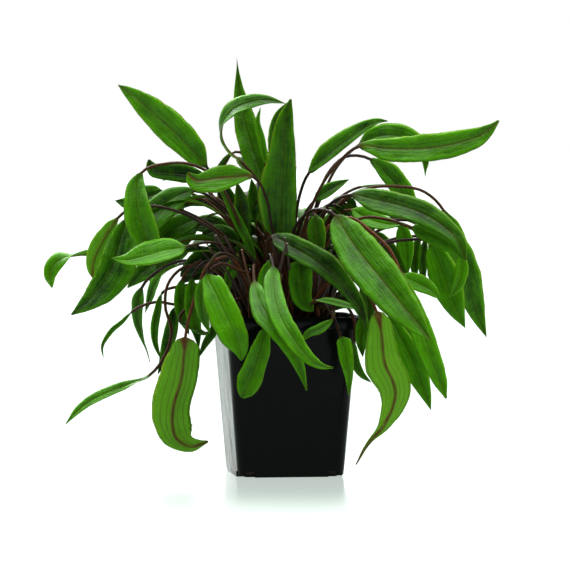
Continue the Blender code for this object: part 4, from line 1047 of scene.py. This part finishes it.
def grow_stalk_tree():
    """The tree that gives lines a round thickness, with its own wobble."""
    tree, add, size = new_tree("grow_stalks", {"Sides": 8, "Wobble": 0.25 * MM, "Stalk": None})
    thickness = add("InputNamedAttribute", "thickness", data_type="FLOAT")
    line = add("MeshToCurve", size["Geometry"])
    ring = add("CurvePrimitiveCircle", {"Resolution": size["Sides"], "Radius": 1.0})
    rods = add("CurveToMesh", {"Curve": line, "Profile Curve": ring, "Fill Caps": True,
                               "Scale": thickness})
    place = add("InputPosition")
    wobble = add("NOISE", place, 400.0, 1.0)
    wobble = add("SUBTRACT", wobble, 0.5)
    wobble = add("MULTIPLY", wobble, size["Wobble"])
    normal = add("InputNormal")
    offset = add("VECTOR_SCALE", normal, wobble)
    rods = add("SetPosition", {"Geometry": rods, "Offset": offset})
    rods = add("SetShadeSmooth", rods)
    rods = add("RealizeInstances", rods)
    rods = add("SetMaterial", {"Geometry": rods, "Material": size["Stalk"]})
    add("NodeGroupOutput", rods)
    return tree


def stalk_finish():
    """Old petioles: dry outside, dark and fibrous."""
    finish, add = new_finish("old_brown_petiole")
    given = add("ATTRIBUTE", attribute_name="warm").outputs["Fac"]
    place = add("COORDINATES").outputs["Object"]
    fibres = add("VECTOR_MULTIPLY", place, (2600.0, 2600.0, 160.0))
    fibres = add("NOISE", fibres, 1.0, 3.0)
    warm = add("MULTIPLY_ADD", fibres, 1.1, -0.55)
    warm = add("ADD", given, warm, use_clamp=True)
    brown = add("MIX_COLOUR", warm, colour("#1a0d07"), colour("#6d3c20"))
    rough = add("MULTIPLY_ADD", fibres, 0.3, 0.35)
    bump = add("BUMP", {"Strength": 0.7, "Distance": 0.3 * MM, "Height": fibres})
    shader = add("PRINCIPLED", {"Base Color": brown, "Roughness": rough, "Normal": bump})
    add("ShaderNodeOutputMaterial", shader)
    return finish


chance = np.random.default_rng(OLD_SEED)
points, edges, thickness, warmth = [], [], [], []
for k in range(OLD_STALKS):
    bearing = chance.uniform(0, 2 * math.pi)
    out = CLUMP * math.sqrt(chance.uniform(0.02, 1))
    length = chance.uniform(*LENGTHS)
    lean = chance.uniform(*LEANS) * (LEAST_LEAN + out / CLUMP)
    stout = chance.uniform(*THICKNESSES)
    steps = max(int(length / ROD_STEP), LEAST_STEPS)
    for j in range(steps + 1):
        share = j / steps
        distance = out + lean * length * share ** FLARE
        turned = bearing + TWIST * share * math.sin(TWIST_PACE * k)
        points.append((distance * math.sin(turned) * MM, distance * math.cos(turned) * MM,
                       (SOIL_TOP - SUNK + length * share) * MM))
        thickness.append(stout * (1 - TAPER * share) * MM)
        warmth.append(chance.uniform(*DULL) + WARMER * (k % RODS_PER_WARM == 0))
        if j:
            edges.append((len(points) - 2, len(points) - 1))
lines = bpy.data.meshes.new("old_stalks")
lines.from_pydata(points, edges, [])
for title, values in (("thickness", thickness), ("warm", warmth)):
    lines.attributes.new(title, "FLOAT", "POINT").data.foreach_set("value", values)
old_stalks = show("old_stalks", lines)
give_tree(old_stalks, grow_stalk_tree(), "Stalk", stalk_finish())
make_plain(old_stalks)
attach(old_stalks, "root")
print("old stalks:", OLD_STALKS, "volume and open edges", inside_volume(old_stalks))

# %% [markdown]
# ## The pot
#
# The real pot is one thin moulding of black polypropylene, blown or pressed over a polished
# mould, so its faces are smooth and shine, with slight waves that bend what they mirror. It could
# be sculpted from a cube, but four rounded squares joined by faces give the same skin with exact
# sizes. Solidify gives the skin its wall, a Boolean cuts the foot, and Bevel rounds the edges
# that catch the light.

# %% Shape the pot
POT_HEIGHT = 100 * MM
LIP_HALF = 45 * MM
LIP_HEIGHT = 8 * MM
LIP_SLOPE = 0.6 * MM
WALL_TOP_HALF = 41 * MM
BASE_HALF = 33.5 * MM
CORNER_TOP = 9 * MM
CORNER_BASE = 7 * MM
CORNER_STEPS = 12
POT_WALL = 1.4 * MM
POT_YAW = math.radians(8)
FOOT_PAD_HALF = 23 * MM
NOTCH_WIDTH = 6 * MM
NOTCH_HEIGHT = 3.8 * MM
NOTCH_DEPTH = 4.5 * MM
NOTCH_OVERLAP = 1 * MM
FOOT_LIFT = 1.3 * MM
MARGIN = 5 * MM
EDGE_WIDTH = 0.35 * MM
SHARP_EDGE = math.radians(35)


def rounded_square(half, radius, height):
    """A ring of points, anticlockwise seen from above."""
    ring, centre = [], half - radius
    for quarter, k in itertools.product(range(4), range(CORNER_STEPS + 1)):
        turn = math.pi / 2 * (quarter + k / CORNER_STEPS)
        x = (centre if quarter in (0, 3) else -centre) + radius * math.cos(turn)
        y = (centre if quarter in (0, 1) else -centre) + radius * math.sin(turn)
        ring.append((x, y, height))
    return ring


def skin_of(name, rings):
    """A skin through rings of equal numbers of points, closed below and open above."""
    mesh = bpy.data.meshes.new(name)
    around = len(rings[0])
    faces = [tuple(range(around - 1, -1, -1))]
    for k, j in itertools.product(range(len(rings) - 1), range(around)):
        onward = (j + 1) % around
        faces.append((k * around + j, k * around + onward, (k + 1) * around + onward,
                      (k + 1) * around + j))
    mesh.from_pydata([point for ring in rings for point in ring], [], faces)
    return show(name, mesh)


def foot_cutter():
    """Boxes that lift the corner feet and open a drain notch beside each of them."""
    shape = bmesh.new()
    outer = FOOT_PAD_HALF + NOTCH_WIDTH
    corner = outer - NOTCH_OVERLAP
    past, back = BASE_HALF + MARGIN, BASE_HALF - NOTCH_DEPTH
    boxes = (((corner, corner, -MARGIN), (past, past, FOOT_LIFT)),
             ((FOOT_PAD_HALF, back, -MARGIN), (outer, past, NOTCH_HEIGHT)),
             ((-outer, back, -MARGIN), (-FOOT_PAD_HALF, past, NOTCH_HEIGHT)))
    for quarter, (low, high) in itertools.product(range(4), boxes):
        low, high = Vector(low), Vector(high)
        stand = Matrix.Translation((low + high) / 2) @ Matrix.Diagonal((*(high - low), 1.0))
        made = bmesh.ops.create_cube(shape, size=1.0)["verts"]
        turned = Matrix.Rotation(math.pi / 2 * quarter, 4, "Z") @ stand
        bmesh.ops.transform(shape, matrix=turned, verts=made)
    mesh = bpy.data.meshes.new("foot_cutter")
    shape.to_mesh(mesh)
    shape.free()
    return show("foot_cutter", mesh)


wall_top = POT_HEIGHT - LIP_HEIGHT
lip_corner = CORNER_TOP + LIP_HALF - WALL_TOP_HALF
pot = skin_of("moulded_pot", [
    rounded_square(BASE_HALF, CORNER_BASE, 0.0),
    rounded_square(WALL_TOP_HALF, CORNER_TOP, wall_top),
    rounded_square(LIP_HALF, lip_corner, wall_top + LIP_SLOPE),
    rounded_square(LIP_HALF, lip_corner, POT_HEIGHT),
])
for kind, settings in (
    ("SOLIDIFY", {"thickness": POT_WALL, "offset": -1.0, "use_even_offset": True}),
    ("BOOLEAN", {"operation": "DIFFERENCE", "use_self": True, "object": foot_cutter()}),
    ("BEVEL", {"width": EDGE_WIDTH, "segments": 3, "angle_limit": SHARP_EDGE}),
):
    modifier = pot.modifiers.new(kind.lower(), kind)
    for setting, value in settings.items():
        setattr(modifier, setting, value)
make_plain(pot)
bpy.data.objects.remove(bpy.data.objects["foot_cutter"])
pot.data.transform(Matrix.Rotation(POT_YAW, 4, "Z"))
pot.data.shade_smooth()
print("pot:", len(pot.data.polygons), "faces, volume and open edges", inside_volume(pot))

# %% [markdown]
# ## The pot's finish
#
# Moulded polypropylene, black, straight from a polished mould: nearly black with a hint of blue,
# glossy, with long slow waves in the surface and a fine haze of handling.

# %% Mix the pot's finish
def pot_finish():
    """Glossy black polypropylene."""
    finish, add = new_finish("moulded_black_polypropylene")
    place = add("COORDINATES").outputs["Object"]
    waves = add("NOISE", place, 45.0, 1.0)
    haze = add("NOISE", place, 260.0, 4.0)
    body = add("MIX_COLOUR", haze, colour("#040505"), colour("#090b0c"))
    gloss = add("MULTIPLY_ADD", haze, 0.16, 0.1)
    fine = add("BUMP", {"Strength": 0.08, "Distance": 0.02 * MM, "Height": haze})
    bump = add("BUMP", {"Strength": 0.8, "Distance": 1.4 * MM, "Height": waves, "Normal": fine})
    shader = add("PRINCIPLED", {"Base Color": body, "Roughness": gloss, "Normal": bump, "IOR": 1.49,
                                "Specular IOR Level": 0.1})
    add("ShaderNodeOutputMaterial", shader)
    return finish


pot.data.materials.clear()
pot.data.materials.append(pot_finish())
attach(pot, "root")
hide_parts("pot")

# %% [markdown]
# ## The soil
#
# The real one is a dark, peaty aquatic soil, of which little shows between the stalks. A small
# tree breaks up the top of the block and scatters crumbs over it.

# %% Finish the soil
def soil_finish():
    """Dark, damp, peaty soil."""
    finish, add = new_finish("damp_peat_soil")
    place = add("COORDINATES").outputs["Object"]
    lumps = add("NOISE", place, 320.0, 6.0)
    body = add("MIX_COLOUR", lumps, colour("#0f0905"), colour("#2c1d11"))
    rough = add("MULTIPLY_ADD", lumps, 0.3, 0.65)
    bump = add("BUMP", {"Strength": 1.0, "Distance": 1.5 * MM, "Height": lumps})
    shader = add("PRINCIPLED", {"Base Color": body, "Roughness": rough, "Normal": bump})
    add("ShaderNodeOutputMaterial", shader)
    return finish


CRUMB = 1.3 * MM
CRUMBS_PER_AREA = 90000.0
ROUGH_TOP = 1.6 * MM
TOP_CUTS = 24


def grow_soil_tree():
    """The tree that roughens a block of soil and lies crumbs on its top."""
    tree, add, size = new_tree("grow_soil", {
        "Crumb": CRUMB, "Per Area": CRUMBS_PER_AREA, "Rough Top": ROUGH_TOP, "Seed": 5,
        "Soil": None})
    place = add("InputPosition")
    high = add("SEPARATE", place).outputs["Z"]
    on_top = add("GREATER_THAN", high, (SOIL_TOP - 1) * MM)
    normal = add("InputNormal")
    facing_up = add("SEPARATE", normal).outputs["Z"]
    facing_up = add("GREATER_THAN", facing_up, 0.9)
    lumps = add("NOISE", place, 150.0, 2.0)
    lumps = add("SUBTRACT", lumps, 0.5)
    lumps = add("MULTIPLY", lumps, size["Rough Top"])
    lumps = add("MULTIPLY", lumps, on_top)
    offset = add("COMBINE", {"Z": lumps})
    block = add("SetPosition", {"Geometry": size["Geometry"], "Offset": offset})
    spots = add("DistributePointsOnFaces", {"Mesh": block, "Selection": facing_up,
                                            "Density": size["Per Area"], "Seed": size["Seed"]})
    crumb = add("MeshIcoSphere", {"Radius": size["Crumb"], "Subdivisions": 2})
    bumps = add("NOISE", place, 900.0, 1.0)
    bumps = add("MULTIPLY_ADD", bumps, 0.6, 0.6)
    squashed = add("VECTOR_SCALE", place, bumps)
    crumb = add("SetPosition", {"Geometry": crumb, "Position": squashed})
    smaller = add("FunctionNodeRandomValue", {"Min": 0.3, "Max": 1.0})
    crumbs = add("InstanceOnPoints", {"Points": spots, "Instance": crumb, "Scale": smaller})
    crumbs = add("RealizeInstances", crumbs)
    whole = add("JoinGeometry")
    tree.links.new(block.outputs[0], whole.inputs[0])
    tree.links.new(crumbs.outputs[0], whole.inputs[0])
    whole = add("SetMaterial", {"Geometry": whole, "Material": size["Soil"]})
    add("NodeGroupOutput", whole)
    return tree


soil = show("crumbly_soil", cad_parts["soil"].data.copy())
shape = bmesh.new()
shape.from_mesh(soil.data)
bmesh.ops.remove_doubles(shape, verts=shape.verts, dist=0.01 * MM)
top = [face for face in shape.faces if face.normal.z > 0.9]
bmesh.ops.subdivide_edges(shape, edges=list({edge for face in top for edge in face.edges}),
                          cuts=TOP_CUTS, use_grid_fill=True)
shape.to_mesh(soil.data)
shape.free()
give_tree(soil, grow_soil_tree(), "Soil", soil_finish())
make_plain(soil)
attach(soil, "root")
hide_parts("soil")
print("soil:", len(soil.data.polygons), "faces")

# %% [markdown]
# ## The studio
#
# The photograph was taken against white, with the light coming mostly from above and behind, so
# that the white floor is brighter than white and the front of the pot mirrors a dim room. Lamps
# near the plant would leave the far floor grey. A sky that is white to the eye, brightest
# overhead and dim towards the front, lights the whole floor evenly, and one wide, soft sun adds
# the highlights. The floor is a pale, polished acrylic sheet with a faint light of its own, as on
# a lit table: nothing throws a shadow on it, and it mirrors what stands on it faintly. Near the
# pot its light is weaker, a painted shade around the pot's foot in which its mirror image shows.

# %% Set up the studio
WHITE = 1.0
FLOOR_RADIUS = 60.0
ROUND_ABOUT = 0.5
OVERHEAD = 5.5
FRONT = 0.1
BACKDROP = 0.9
SUN_STRENGTH = 2.6
SUN_SPREAD = math.radians(24)
SUN_TIPPED, SUN_LEANING = math.radians(-38), math.radians(-22)


def floor_finish():
    """Pale polished acrylic sheet, whose glow is weaker near the pot as painted shade."""
    finish, add = new_finish("pale_polished_acrylic")
    place = add("COORDINATES").outputs["Object"]
    grain = add("NOISE", place, 30.0, 3.0)
    away = add("VECTOR_LENGTH", place).outputs["Value"]
    rough = add("RANGE", away, 0.04, 0.45, 0.04, 0.6)
    rough = add("MULTIPLY_ADD", grain, 0.05, rough)
    # the glow is weakest within 12 cm of the pot and full from 32 cm: a painted shade around it
    lit = add("SMOOTH_RANGE", away, 0.12, 0.32, 0.62, 1.0)
    shader = add("PRINCIPLED", {"Base Color": colour("#39403c"), "Roughness": rough, "IOR": 1.35,
                                "Emission Color": colour("#e8f5ed"), "Emission Strength": lit})
    add("ShaderNodeOutputMaterial", shader)
    return finish


floor_mesh = bpy.data.meshes.new("floor")
floor_shape = bmesh.new()
bmesh.ops.create_circle(floor_shape, cap_ends=True, segments=96, radius=FLOOR_RADIUS)
floor_shape.to_mesh(floor_mesh)
floor_shape.free()
floor = show("floor", floor_mesh)
floor.data.materials.append(floor_finish())

world = bpy.data.worlds.new("white_studio")
world.use_nodes = True
world.node_tree.nodes.clear()
add = functools.partial(add_node, world.node_tree)
direction = add("COORDINATES").outputs["Generated"]
parts = add("SEPARATE", direction).outputs
height = add("SMOOTH_RANGE", parts["Z"], 0.4, 0.98, ROUND_ABOUT, OVERHEAD)
behind = add("SMOOTH_RANGE", parts["Y"], -0.75, 0.1, FRONT)
backdrop = add("SMOOTH_RANGE", parts["Y"], 0.5, 0.95, 0.0, BACKDROP)
lighting = add("MULTIPLY_ADD", height, behind, backdrop)
seen_directly = add("ShaderNodeLightPath").outputs["Is Camera Ray"]
brightness = add("MIX_VALUE", seen_directly, lighting, WHITE)
background = add("ShaderNodeBackground", {"Color": colour("#ffffff"), "Strength": brightness})
add("ShaderNodeOutputWorld", background)
bpy.context.scene.world = world
bpy.context.scene.view_settings.view_transform = "Standard"

lamp = bpy.data.lights.new("soft_sun", "SUN")
lamp.energy = SUN_STRENGTH
lamp.angle = SUN_SPREAD
sun = show("soft_sun", lamp)
sun.rotation_euler = (SUN_TIPPED, SUN_LEANING, 0)
print("the sun shines towards", (sun.rotation_euler.to_matrix() @ Vector((0, 0, -1))).to_tuple(2))
